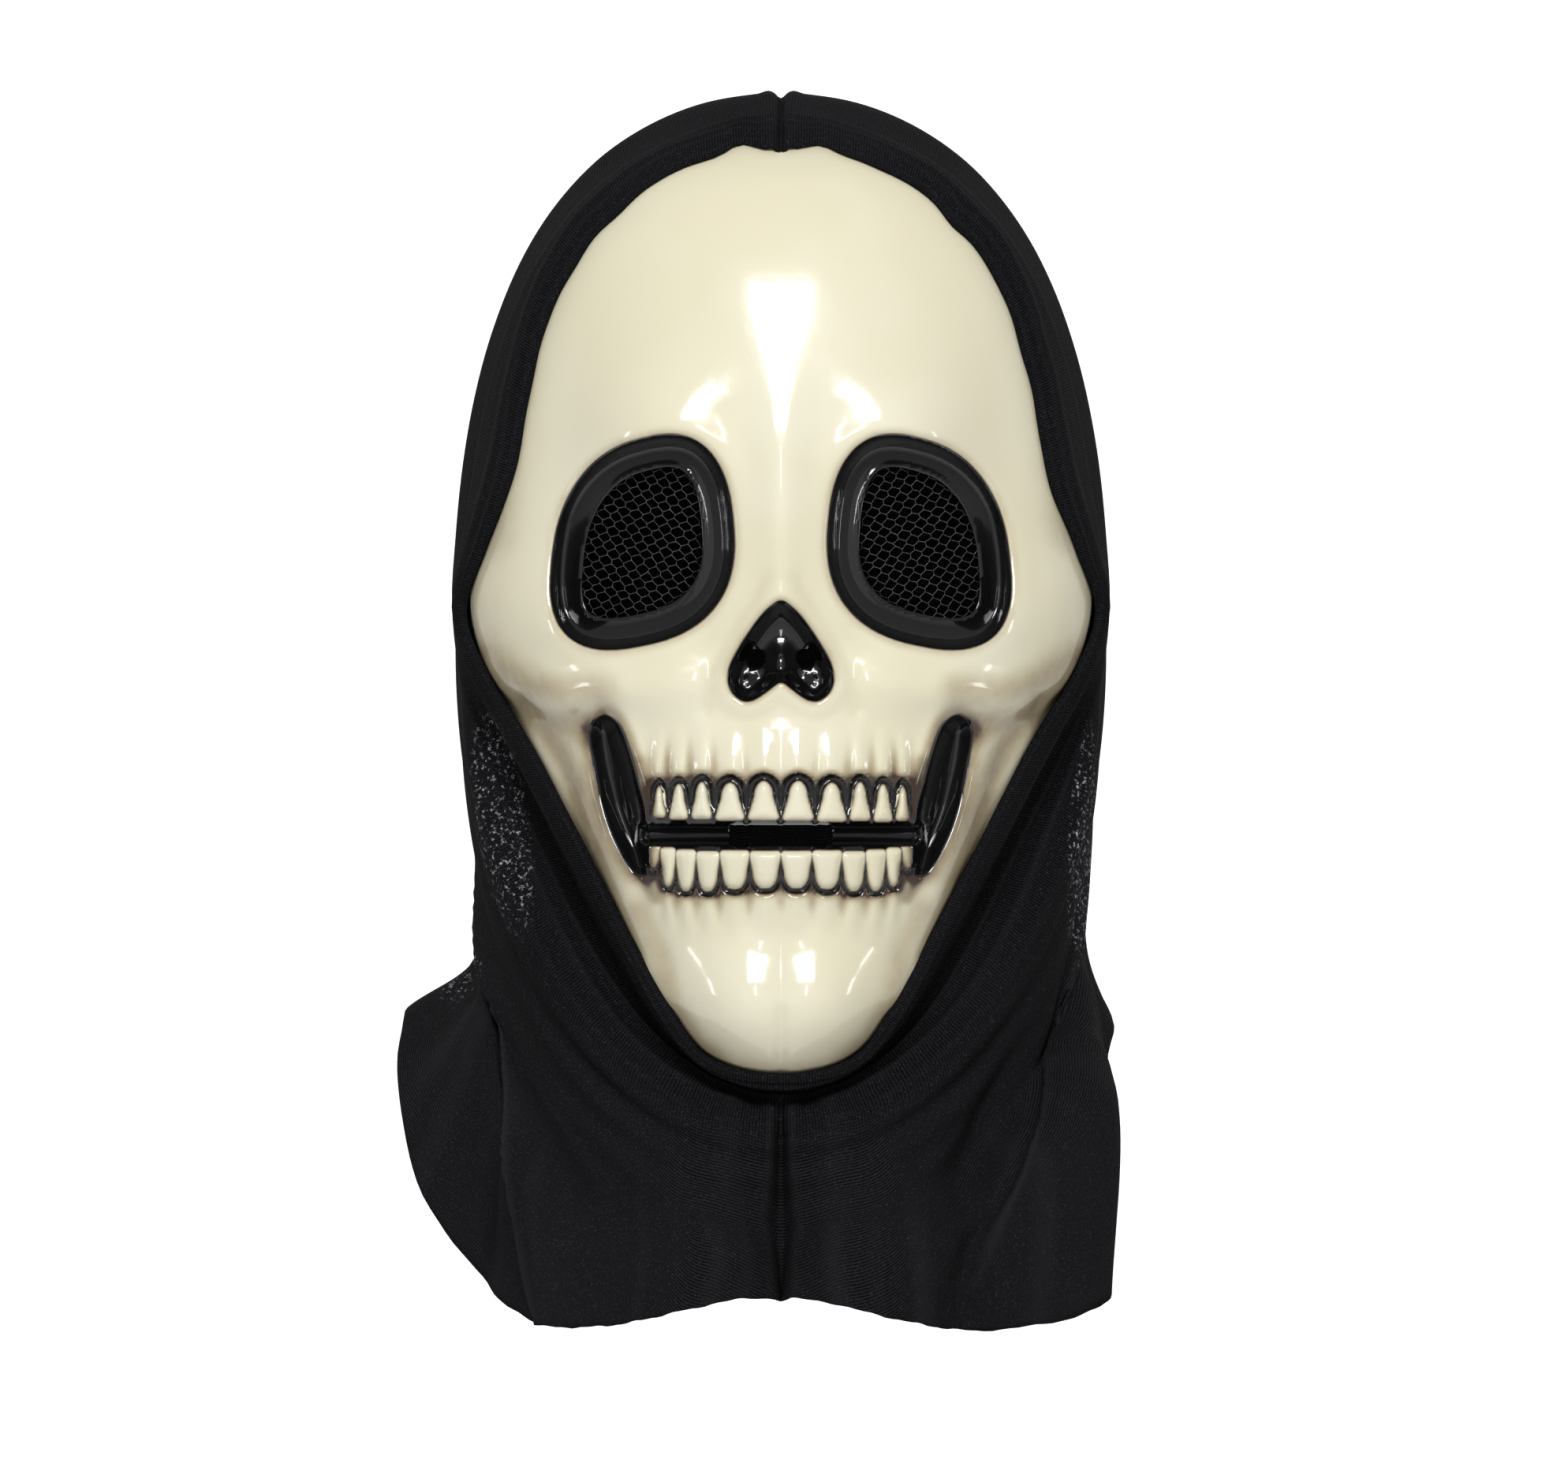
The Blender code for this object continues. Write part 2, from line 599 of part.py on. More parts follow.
def make_mask_shell(parts, helpers):
    shell = new_object("mask_shell", face_grid(), parts)
    wall = shell.modifiers.new("wall", "SOLIDIFY")
    wall.thickness = FACE_WALL
    wall.offset = -1
    wall.use_even_offset = True
    shell.modifiers.new("facets", "TRIANGULATE")
    bosses = new_collection("bosses", helpers)
    cuts = new_collection("cuts", helpers)
    for side, hand in ((1, "right"), (-1, "left")):
        make_socket(hand, side, bosses, cuts)
        nostril_cutter(f"nostril_cut_{hand}", side, cuts)
        make_recess(f"side_slot_{hand}", side_slot_outline(side), SIDE_SLOT_TAPER,
                    SIDE_SLOT_DEPTH, bosses, cuts)
    make_recess("nose", nose_outline(), NOSE_TAPER, NOSE_DEPTH, bosses, cuts)
    left, right = gap_ends()
    make_groove("gap", left, right, GAP_HEIGHT, GAP_DEPTH, GAP_SECTIONS, bosses, cuts)
    reach = np.array((SLOT_HALF_WIDTH - SLOT_HEIGHT / 2, 0))
    middle = np.array((0, -GAP_DOWN))
    through_cutter("slot_cut", rounded_bar(middle - reach, middle + reach, SLOT_HEIGHT), cuts)
    set_teeth(bosses)
    add_boolean(shell, "UNION", bosses)
    add_boolean(shell, "DIFFERENCE", cuts)
    finish_material(shell, (0.86, 0.82, 0.66), 0.18)


def make_eye_screens(parts):
    """A thin net screen behind each eye hole, a little wider than the hole."""
    near = SOCKET_DEPTH + RECESS_WALL + FIT_GAP
    for side, hand in ((1, "right"), (-1, "left")):
        seat, hole = screen_seat(socket_outline(side))
        centre = hole.mean(axis=0)
        rings = [seat, hole] + [centre + (hole - centre) * share for share in SCREEN_RINGS]
        front = [at_depth(ring, floor(near)) for ring in rings]
        back = [at_depth(ring, floor(near + SCREEN_THICKNESS)) for ring in rings]
        screen = loft(f"eye_screen_{hand}", front[::-1] + back, parts)
        finish_material(screen, (0.02, 0.02, 0.02), 0.6)


def band_point(angle, across):
    """A place on the cloth over the rim of the face: across is 0 at the bare edge of the hem and
    1 over the moulded rim."""
    side = np.sign(angle)
    turn = np.abs(angle)
    drop = (1 - np.cos(np.radians(turn))) / 2
    bare_x = outline("bare", turn) * BARE_HALF_WIDTH
    rim_x = outline("rim", turn) * FACE_HALF_WIDTH
    bare_z = -BARE_BELOW_CROWN - BARE_HEIGHT * drop
    rim_z = -FACE_BELOW_CROWN - FACE_HEIGHT * drop
    x = bare_x + (rim_x - bare_x) * across
    z = bare_z + (rim_z - bare_z) * across
    normal = face_normal(x, z)
    stand = FIT_GAP + CLOTH_WALL + CLOTH_CLEARANCE + HOOD_EASE * across * np.sin(np.radians(turn))
    point = np.stack([x, face_y(x, z), z], axis=-1) + normal * stand[..., None]
    return point * np.stack([side, np.ones_like(x), np.ones_like(x)], axis=-1)


def ring_point(angle, row):
    """A place on one of the rings behind the face."""
    ring = dict(zip(RING_COLUMNS, row))
    turn = np.radians(np.abs(angle))
    side = np.sign(angle)
    behind = np.abs(angle) < 90
    square = np.where(behind, ring["square_back"], ring["square_front"])
    aside = np.abs(np.sin(turn)) ** square
    ahead = np.abs(np.cos(turn)) ** square

    def forward(share):
        return share * (HOOD_BACK if share > 0 else HOOD_FRONT)

    x = side * aside * ring["side_x"] * HOOD_HALF_WIDTH
    side_y, side_z = forward(ring["side_y"]), -ring["side_down"] * HOOD_HEIGHT
    end_y = np.where(behind, forward(ring["back_y"]), forward(ring["front_y"]))
    end_z = -HOOD_HEIGHT * np.where(behind, ring["back_down"], ring["front_down"])
    y = side_y + (end_y - side_y) * ahead
    z = side_z + (end_z - side_z) * ahead
    return np.stack([x, y, z], axis=-1)


def drape_point(angle, rows):
    """A place on a ring whose own table gives its course round the shoulders."""
    across, back, down = (column(rows, DRAPE_COLUMNS, name, angle) for name in DRAPE_COLUMNS[1:])
    y = back * np.where(back > 0, HOOD_BACK, HOOD_FRONT)
    return np.stack([across * HOOD_HALF_WIDTH, y, -down * HOOD_HEIGHT], axis=-1)


def through_rings(keys, rings, at):
    """Smooth places along the cloth through the key rings, for every column at once."""
    keys = np.array(keys)
    rings = np.array(rings)
    slopes = np.gradient(rings, keys, axis=0)
    i = min(max(int(np.searchsorted(keys, at, side="right")) - 1, 0), len(keys) - 2)
    span = keys[i + 1] - keys[i]
    t = (at - keys[i]) / span
    start = rings[i] * (1 + 2 * t) * (1 - t) ** 2 + slopes[i] * span * t * (1 - t) ** 2
    end = rings[i + 1] * t * t * (3 - 2 * t) + slopes[i + 1] * span * t * t * (t - 1)
    return start + end


def fold_height(angle, along):
    """How far the folds of the drape stand out of the plain hood."""
    total = np.zeros_like(angle)
    for row in FOLDS.values():
        fold = dict(zip(FOLD_COLUMNS, row))
        grown = smooth_step(along, fold["start"], fold["full"])
        apart = (angle - fold["angle"] - fold["drift"] * grown + 180) % 360 - 180
        total += fold["depth"] * grown * np.exp(-((apart / fold["spread"]) ** 2))
    return FOLD_DEPTH * total


def hood_surface():
    """Rows of points of the outside of the hood, from the hem round the face to the low hem."""
    angle = np.linspace(-180, 180, HOOD_COLUMNS + 1)
    band = [0.0, BAND_END / 2, BAND_END]
    keys = band + [row[0] for row in RINGS] + [SHOULDER_ALONG, 1.0]
    rings = [band_point(angle, place / BAND_END) for place in band]
    rings += [ring_point(angle, row) for row in RINGS]
    rings += [drape_point(angle, SHOULDER_RING), drape_point(angle, HEM_RING)]
    near = np.linspace(0, BAND_END, BAND_ROWS + 1)[:-1]
    far = np.linspace(BAND_END, 1.0, HOOD_ROWS - BAND_ROWS + 1)
    places = np.concatenate([near, far])
    surface = np.array([through_rings(keys, rings, place) for place in places])
    round_way = np.gradient(surface, axis=1)
    round_way[:, 0] = round_way[:, -1] = surface[:, 1] - surface[:, -2]
    long_way = np.gradient(surface, axis=0)
    normal = np.cross(round_way, long_way)
    normal /= np.maximum(np.linalg.norm(normal, axis=2, keepdims=True), 1e-9)
    for row, place in enumerate(places):
        ripple = RIPPLE_DEPTH * (1 - math.cos(place / BAND_END * 2 * math.pi)) / 2
        ripple *= 1 - float(smooth_step(place, 0.5, 0.9))
        lift = fold_height(angle, place) + ripple
        surface[row] += normal[row] * lift[:, None]
    surface[:, 0, 0] = surface[:, -1, 0] = 0
    surface[:, -1] = surface[:, 0]
    return surface


def make_hood(parts):
    surface = hood_surface()
    bm = bmesh.new()
    bmesh.ops.create_grid(bm, x_segments=HOOD_COLUMNS, y_segments=HOOD_ROWS, size=1.0)
    for v in bm.verts:
        i = round((v.co.x + 1) / 2 * HOOD_COLUMNS)
        j = round((v.co.y + 1) / 2 * HOOD_ROWS)
        v.co = surface[j, i]
    bmesh.ops.remove_doubles(bm, verts=bm.verts, dist=1e-6)
    mesh = bpy.data.meshes.new("hood")
    bm.to_mesh(mesh)
    bm.free()
    hood = new_object("hood", mesh, parts)
    cloth = hood.modifiers.new("cloth", "SOLIDIFY")
    cloth.thickness = CLOTH_WALL
    cloth.offset = -1
    cloth.use_even_offset = True
    finish_material(hood, (0.015, 0.015, 0.018), 0.9)


def new_collection(name, parent):
    made = bpy.data.collections.new(name)
    parent.children.link(made)
    return made


def main():
    for obj in list(bpy.data.objects):
        bpy.data.objects.remove(obj)
    root = bpy.context.scene.collection
    parts = new_collection("skull mask", root)
    helpers = new_collection("helpers", root)
    make_mask_shell(parts, helpers)
    make_eye_screens(parts)
    make_hood(parts)


main()
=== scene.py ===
import math

import bmesh
import bpy
import numpy as np
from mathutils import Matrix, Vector


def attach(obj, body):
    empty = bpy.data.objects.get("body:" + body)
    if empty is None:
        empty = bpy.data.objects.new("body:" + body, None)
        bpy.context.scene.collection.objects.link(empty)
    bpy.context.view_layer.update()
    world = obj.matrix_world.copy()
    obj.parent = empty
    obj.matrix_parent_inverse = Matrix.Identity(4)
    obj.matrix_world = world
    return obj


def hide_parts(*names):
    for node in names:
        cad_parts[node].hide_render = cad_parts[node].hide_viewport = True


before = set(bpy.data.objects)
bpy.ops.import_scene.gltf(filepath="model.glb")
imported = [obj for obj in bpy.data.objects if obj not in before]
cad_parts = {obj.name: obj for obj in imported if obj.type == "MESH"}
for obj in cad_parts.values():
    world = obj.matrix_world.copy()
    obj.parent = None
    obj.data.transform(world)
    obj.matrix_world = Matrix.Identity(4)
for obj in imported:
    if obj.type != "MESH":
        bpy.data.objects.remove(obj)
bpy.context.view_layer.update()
print("frame loaded")

# camera, floor and light

studio = {
    "eyeToCamera": 6.0,       # metres in front of the nets
    "frameWidth": 0.4465,     # what the camera takes in at the nets
    "aimX": 0.0009,
    "aimZ": -0.1835,
    "netDepth": -0.100,
    "floorBelow": 1.30,
    "backBehind": 9.0,
    "lightAim": (0, -0.06, -0.15),
    # place, size, power in watts
    "lights": {
        "front_softbox": ((0, -1.75, 0.95), (0.86, 0.42), 26),
        "front_strip": ((0, -2.20, 0.45), (0.09, 0.50), 2.0),
        "broad_fill": ((0, -3.20, -0.10), (3.00, 2.00), 5.5),
        "left_softbox": ((-2.05, -0.45, -0.15), (0.10, 0.40), 1.1),
        "left_rear_softbox": ((-1.70, 1.60, 0.90), (0.90, 0.90), 24),
        "right_softbox": ((2.05, -0.45, -0.15), (0.10, 0.40), 1.1),
        "right_rear_softbox": ((1.70, 1.60, 0.90), (0.90, 0.90), 24),
    },
    "roomLight": 0.32,
}


def placeCamera():
    data = bpy.data.cameras.new("camera")
    data.sensor_width = 36
    data.lens = 36 * studio["eyeToCamera"] / studio["frameWidth"]
    data.clip_end = 60
    cam = bpy.data.objects.new("camera", data)
    cam.location = (studio["aimX"], studio["netDepth"] - studio["eyeToCamera"], studio["aimZ"])
    cam.rotation_euler = (math.radians(90), 0, 0)
    bpy.context.scene.collection.objects.link(cam)
    bpy.context.scene.camera = cam


def addLight(name, place, size, power):
    data = bpy.data.lights.new(name, "AREA")
    data.shape = "RECTANGLE"
    data.size, data.size_y = size
    data.energy = power
    lamp = bpy.data.objects.new(name, data)
    lamp.location = place
    lamp.rotation_euler = (Vector(studio["lightAim"]) - lamp.location).to_track_quat("-Z", "Y").to_euler()
    bpy.context.scene.collection.objects.link(lamp)


placeCamera()
print("camera placed")

# shader helpers


class Value:
    # a socket that takes part in sums
    def __init__(self, graph, socket):
        self.graph, self.socket = graph, socket

    def sum(self, operation, *others):
        return self.graph.out("ShaderNodeMath", {"operation": operation},
                              {i: v for i, v in enumerate((self, *others))})

    def __add__(self, other): return self.sum("ADD", other)
    def __radd__(self, other): return self.sum("ADD", other)
    def __mul__(self, other): return self.sum("MULTIPLY", other)
    def __rmul__(self, other): return self.sum("MULTIPLY", other)
    def __sub__(self, other): return self.sum("SUBTRACT", other)
    def __rsub__(self, other): return (self * -1) + other

    def least(self, other): return self.sum("MINIMUM", other)
    def most(self, other): return self.sum("MAXIMUM", other)
    def sine(self): return self.sum("SINE")

    def ramp(self, low, high):
        # 0 below low, 1 above high, smooth between
        return self.graph.out("ShaderNodeMapRange", {"interpolation_type": "SMOOTHSTEP"},
                              {"Value": self, "From Min": low, "From Max": high})


class Graph:
    def __init__(self, name):
        self.material = bpy.data.materials.new(name)
        self.material.use_nodes = True
        self.tree = self.material.node_tree
        self.shader = self.tree.nodes["Principled BSDF"]

    def node(self, kind, settings=None, sockets=None):
        made = self.tree.nodes.new(kind)
        for key, value in (settings or {}).items():
            setattr(made, key, value)
        for key, value in (sockets or {}).items():
            self.feed(made.inputs[key], value)
        return made

    def feed(self, socket, value):
        if isinstance(value, Value):
            self.tree.links.new(value.socket, socket)
        elif isinstance(value, tuple) and len(value) == 3 and socket.type == "RGBA":
            socket.default_value = (*value, 1)
        else:
            socket.default_value = value

    def out(self, kind, settings=None, sockets=None, output=0):
        return Value(self, self.node(kind, settings, sockets).outputs[output])

    def place(self): return self.out("ShaderNodeTexCoord", output="Object")
    def onCloth(self): return self.out("ShaderNodeUVMap", {"uv_map": "cloth"})

    def layer(self, name):
        return self.out("ShaderNodeAttribute", {"attribute_name": name}, output="Fac")

    def mix(self, factor, first, second):
        return self.out("ShaderNodeMix", {"data_type": "RGBA"}, {0: factor, 6: first, 7: second}, 2)

    def noise(self, where, scale, detail=3.0, rough=0.5):
        return self.out("ShaderNodeTexNoise", None,
                        {"Vector": where, "Scale": scale, "Detail": detail, "Roughness": rough})

    def set(self, **values):
        for key, value in values.items():
            self.feed(self.shader.inputs[key.replace("_", " ")], value)

    def bump(self, height, distance, strength):
        return self.out("ShaderNodeBump", None,
                        {"Height": height, "Distance": distance, "Strength": strength})


# curves and distances

outlineReach = 0.012


def curveThrough(keys, values, at):
    # smooth curve through numbers, or through whole rings of points where at is one number
    keys, values = np.asarray(keys, float), np.asarray(values, float)
    slopes = np.gradient(values, keys, axis=0)
    at = np.clip(np.asarray(at, float), keys[0], keys[-1])
    i = np.clip(np.searchsorted(keys, at, side="right") - 1, 0, len(keys) - 2)
    span = keys[i + 1] - keys[i]
    t = (at - keys[i]) / span
    start = values[i] * (1 + 2 * t) * (1 - t) ** 2 + slopes[i] * span * t * (1 - t) ** 2
    end = values[i + 1] * t * t * (3 - 2 * t) + slopes[i + 1] * span * t * t * (t - 1)
    return start + end


def easeStep(value, low, high):
    t = np.clip((value - low) / (high - low), 0, 1)
    return t * t * (3 - 2 * t)


def roundedLoop(points, copies=5):
    # closed smooth loop through a few points
    p = np.asarray(points, float)
    before, after, far = np.roll(p, 1, 0), np.roll(p, -1, 0), np.roll(p, -2, 0)
    t = np.linspace(0, 1, copies, endpoint=False)[:, None, None]
    loop = 0.5 * (2 * p + (after - before) * t + (2 * before - 5 * p + 4 * after - far) * t ** 2
                  + (3 * p - before - 3 * after + far) * t ** 3)
    return loop.transpose(1, 0, 2).reshape(-1, 2)


def segmentDistance(x, z, a, b):
    span = b - a
    t = np.clip(((x - a[0]) * span[0] + (z - a[1]) * span[1]) / max(span @ span, 1e-18), 0, 1)
    return np.hypot(x - a[0] - t * span[0], z - a[1] - t * span[1])


def loopDistance(x, z, loop):
    # signed distance to a closed outline, negative inside and no more than the reach outside
    reach = outlineReach
    low, high = loop.min(0) - reach, loop.max(0) + reach
    near = (x > low[0]) & (x < high[0]) & (z > low[1]) & (z < high[1])
    out = np.full(x.shape, reach)
    px, pz = x[near], z[near]
    best, inside = np.full(px.shape, reach), np.zeros(px.shape, bool)
    for a, b in zip(loop, np.roll(loop, -1, 0)):
        best = np.minimum(best, segmentDistance(px, pz, a, b))
        if a[1] != b[1]:
            crosses = (a[1] > pz) != (b[1] > pz)
            inside ^= crosses & (px < (b[0] - a[0]) * (pz - a[1]) / (b[1] - a[1]) + a[0])
    out[near] = np.where(inside, -best, best)
    return out


def pairDistance(x, z, loopOf):
    # distance to the nearer of the outlines on the two sides
    return np.minimum(loopDistance(x, z, loopOf(1)), loopDistance(x, z, loopOf(-1)))


def pathDistance(x, z, points):
    best = np.full(x.shape, 1.0)
    for a, b in zip(points[:-1], points[1:]):
        best = np.minimum(best, segmentDistance(x, z, np.array(a), np.array(b)))
    return best


# the moulded face

face = {
    "halfWidth": 0.0910, "height": 0.275, "belowCrown": 0.006,
    "forward": 0.112, "depth": 0.081, "wall": 0.0022, "recessThinner": 0.0004, "rise": 0.010,
    "bareHalfWidth": 0.0897, "bareHeight": 0.2627, "bareBelowCrown": 0.0153,
    # angle from the top of the head, moulded rim, part left bare, front, depth
    "outline": ((0, 0.000, 0.000, 0.500, 0.000), (15, 0.271, 0.277, 0.625, 0.200),
                (30, 0.554, 0.520, 0.786, 0.490), (45, 0.753, 0.679, 0.893, 0.716),
                (60, 0.875, 0.786, 0.960, 0.883), (75, 0.948, 0.860, 0.982, 0.963),
                (83, 0.978, 0.940, 0.990, 0.990), (90, 1.000, 0.996, 0.994, 1.000),
                (97, 0.962, 0.935, 0.990, 0.950), (105, 0.862, 0.814, 0.982, 0.877),
                (120, 0.682, 0.626, 0.990, 0.728), (135, 0.524, 0.468, 0.955, 0.540),
                (150, 0.372, 0.337, 0.975, 0.450), (165, 0.200, 0.217, 0.900, 0.235),
                (180, 0.000, 0.000, 0.786, 0.000)),
    # soft forms: across, down, wide, tall, lean, rise
    "forms": {
        "glabella": (0.00, 0.330, 0.24, 0.080, 0, 0.22),
        "brow": (0.42, 0.318, 0.22, 0.058, 12, 0.70),
        "temple": (0.72, 0.330, 0.16, 0.110, 0, -0.55),
        "noseBridge": (0.00, 0.420, 0.100, 0.120, 0, 0.66),
        "noseFlank": (0.22, 0.560, 0.09, 0.060, 20, -0.15),
        "cheekbone": (0.86, 0.540, 0.24, 0.070, -20, 0.85),
        "cheekRidge": (0.56, 0.600, 0.34, 0.030, 8, 0.55),
        "cheekHollow": (0.66, 0.690, 0.14, 0.075, -12, -0.75),
        "jawRidge": (0.60, 0.740, 0.07, 0.110, 24, 0.45),
        "upperJaw": (0.00, 0.690, 0.44, 0.075, 0, 0.44),
        "lowerJaw": (0.00, 0.775, 0.36, 0.040, 0, 0.35),
        "chin": (0.14, 0.918, 0.17, 0.064, 0, 0.86),
        "chinFlank": (0.42, 0.880, 0.08, 0.075, 20, -0.52),
    },
    "denseCell": 0.00086, "wideCell": 0.0019, "denseHalfWidth": 0.066, "denseHeights": (-0.094, -0.234),
}
sockets = {
    "across": 0.0395, "down": 0.1275, "width": 0.0520, "height": 0.0590,
    "squareness": 2.5, "droop": 0.22, "depth": 0.0075, "wallLean": 0.0030, "ledge": 0.0060,
    "channelDepth": 0.0007, "lip": (0.0011, 0.0022, 0.0050),   # rise, distance from the edge, width
}
nose = {
    "topDown": 0.1442, "height": 0.0285, "halfWidth": 0.0150, "depth": 0.0085, "taper": 0.0042,
    "nostrilRadius": 0.0028, "nostrilAcross": 0.0071, "nostrilDown": 0.1606, "lip": (0.0013, 0.0017, 0.0028),
    "half": ((0.00, 0.000), (0.20, 0.060), (0.40, 0.165), (0.63, 0.330), (0.81, 0.480),
             (0.94, 0.610), (1.00, 0.730), (0.99, 0.835), (0.90, 0.930), (0.72, 1.000),
             (0.54, 0.995), (0.38, 0.950), (0.20, 0.880)),
    "notch": 0.815,
    # raised places on the cavity's floor: across, down, width, height, rise
    "knots": ((0.0000, 0.1630, 0.0034, 0.0060, 0.0042), (0.0098, 0.1680, 0.0030, 0.0030, 0.0026)),
}
sideSlots = {
    "down": 0.1770, "length": 0.0472, "across": 0.0500, "depth": 0.0078, "taper": 0.0052,
    "lip": (0.0008, 0.0015, 0.0030),
    # along, outer edge, inner edge
    "rows": ((0.00, 1.030, 0.975), (0.07, 1.096, 0.905), (0.25, 1.078, 0.845),
             (0.44, 1.044, 0.798), (0.59, 1.010, 0.760), (0.75, 0.954, 0.752),
             (0.88, 0.888, 0.752), (0.96, 0.830, 0.755)),
}
mouth = {
    "gapDown": 0.2109, "gapHeight": 0.0080, "gapDepth": 0.0070,
    # sunk bar between the rows, and the slot cut through it: down, half width, height, corner
    "gapBar": (0.2109, 0.0405, 0.0062, 0.0016), "slotBar": (0.2109, 0.0147, 0.0057, 0.0016),
    "upperEdgeDrop": (0.0000, 0.0002, -0.0002, 0.0001, -0.0003),
    "lowerEdgeDrop": (0.0002, 0.0000, 0.0003, -0.0002, -0.0008, -0.0022), "tilt": -0.0125,
    "archRise": 0.0046,
    "upperRootDown": (0.1931, 0.1936, 0.1934, 0.1940, 0.1946),
    "lowerRootDown": (0.2276, 0.2279, 0.2285, 0.2284, 0.2272, 0.2226),
    "upperBounds": (0.0000, 0.0098, 0.0191, 0.0259, 0.0322, 0.0371),
    "lowerBounds": (0.0000, 0.0089, 0.0174, 0.0241, 0.0299, 0.0343, 0.0385),
    # peak of the arch, peak of the crown, gap at the root, inset at the sides, taper, length of the root
    "upperCrown": (1.20, 1.10, 0.0021, 0.00022, 0.38, 0.017),
    "lowerCrown": (0.85, 0.80, 0.0014, -0.00028, 0.20, 0.013),
    "archRoom": 0.0005, "archCorner": 0.0002, "crownCorner": 0.0011, "crownDome": 0.0024,
    "crownStand": 0.0021, "archSink": 0.0016, "rootRise": 0.0015,
    # how brown each valley between two roots is, from the middle outwards
    "upperValley": (0.10, 0.24, 0.40, 0.55, 0.72, 0.40),
    "lowerValley": (0.34, 0.48, 0.52, 0.46, 0.50, 0.56, 0.34),
}
# long soft ridges and grooves: places (x, z) in mm on the viewer's right and mirrored, width and rise in mm
ridges = {
    "jawRidge": (((62, -175), (57.5, -187), (55, -197), (52, -210), (46, -226), (39, -243), (33, -258)),
                 4.2, 2.3),
    "jawGroove": (((76, -172), (70, -178), (64.5, -185), (60, -198), (56, -211), (50, -228), (43, -245)),
                  3.2, -2.6),
    "cheekUnder": (((82, -162), (74, -168), (62, -170.5), (51, -169)), 6.0, 2.1),
    "cheekHollow": (((80, -173), (70, -177.5), (60, -179), (50, -177)), 4.4, -2.2),
    "noseCrease": (((5, -139), (12, -150), (19, -164), (21, -175)), 2.6, -0.85),
    "slotInner": (((45, -182), (40, -192), (35.5, -204)), 3.0, 0.7),
    "chinCleft": (((0, -262), (0, -281)), 2.0, -0.9),
}


def faceAngle(z):
    return np.degrees(np.arccos(1 - 2 * np.clip((-face["belowCrown"] - z) / face["height"], 0, 1)))


def faceOutline(name, angle):
    at = ("angle", "rim", "bare", "front", "depth").index(name)
    rows = face["outline"]
    return curveThrough([r[0] for r in rows], [r[at] for r in rows], angle)


def shareAcross(x, z):
    half = np.maximum(faceOutline("rim", faceAngle(z)) * face["halfWidth"], 1e-6)
    return np.clip(np.abs(x) / half, 0, 1)


def plainY(x, z):
    angle = faceAngle(z)
    bow = 1 - np.sqrt(1 - shareAcross(x, z) ** 2)
    return -face["forward"] * faceOutline("front", angle) + face["depth"] * faceOutline("depth", angle) * bow


def faceY(x, z):
    across, down = np.abs(x), -face["belowCrown"] - z
    total = np.zeros_like(x + z)
    for formAcross, formDown, wide, tall, lean, rise in face["forms"].values():
        lean = math.radians(lean)
        aside, below = across - formAcross * face["halfWidth"], down - formDown * face["height"]
        along = aside * math.cos(lean) + below * math.sin(lean)
        over = below * math.cos(lean) - aside * math.sin(lean)
        total += rise * np.exp(-(along / (wide * face["halfWidth"])) ** 2
                               - (over / (tall * face["height"])) ** 2)
    fade = (1 - shareAcross(x, z) ** 4) * np.sin(np.radians(faceAngle(z)))
    return plainY(x, z) - face["rise"] * total * fade


def faceNormal(x, z):
    step = 0.0004
    half = faceOutline("rim", faceAngle(z)) * face["halfWidth"]
    x = np.clip(x, -half + step, half - step)
    byX = (faceY(x + step / 2, z) - faceY(x - step / 2, z)) / step
    byZ = (faceY(x, z + step / 2) - faceY(x, z - step / 2)) / step
    normal = np.stack([byX, -np.ones_like(byX), byZ], -1)
    return normal / np.linalg.norm(normal, axis=-1, keepdims=True)


def socketLoop(side, copies=72):
    turn = np.linspace(0, 2 * np.pi, copies, endpoint=False)
    power = 2 / sockets["squareness"]
    across = np.sign(np.cos(turn)) * np.abs(np.cos(turn)) ** power
    up = np.sign(np.sin(turn)) * np.abs(np.sin(turn)) ** power
    wide = across * sockets["width"] / 2 * (1 - 0.10 * up)
    tall = up * sockets["height"] / 2 - sockets["droop"] * sockets["width"] / 2 * across
    return np.stack([side * (sockets["across"] + wide), tall - sockets["down"]], 1)


def noseLoop():
    right = np.array(nose["half"]) * (nose["halfWidth"], -nose["height"]) + (0, -nose["topDown"])
    notch = [(0.0, -nose["topDown"] - nose["notch"] * nose["height"])]
    return roundedLoop(np.concatenate([right, notch, right[:0:-1] * (-1, 1)]), 4)


def sideSlotLoop(side):
    rows = np.array(sideSlots["rows"])
    down = -sideSlots["down"] - rows[:, 0] * sideSlots["length"]
    outer = np.stack([side * rows[:, 1] * sideSlots["across"], down], 1)
    inner = np.stack([side * rows[:, 2] * sideSlots["across"], down], 1)
    return roundedLoop(np.concatenate([outer, inner[::-1]]), 4)


def barLoop(down, halfWidth, height, corner):
    turn = np.linspace(0, np.pi / 2, 7)
    x, z = halfWidth - corner + corner * np.cos(turn), height / 2 - corner + corner * np.sin(turn)
    quarter = np.stack([x, z], 1)
    top = np.concatenate([quarter, quarter[::-1] * (-1, 1)])
    return np.concatenate([top, top[::-1] * (1, -1)]) + (0, -down)


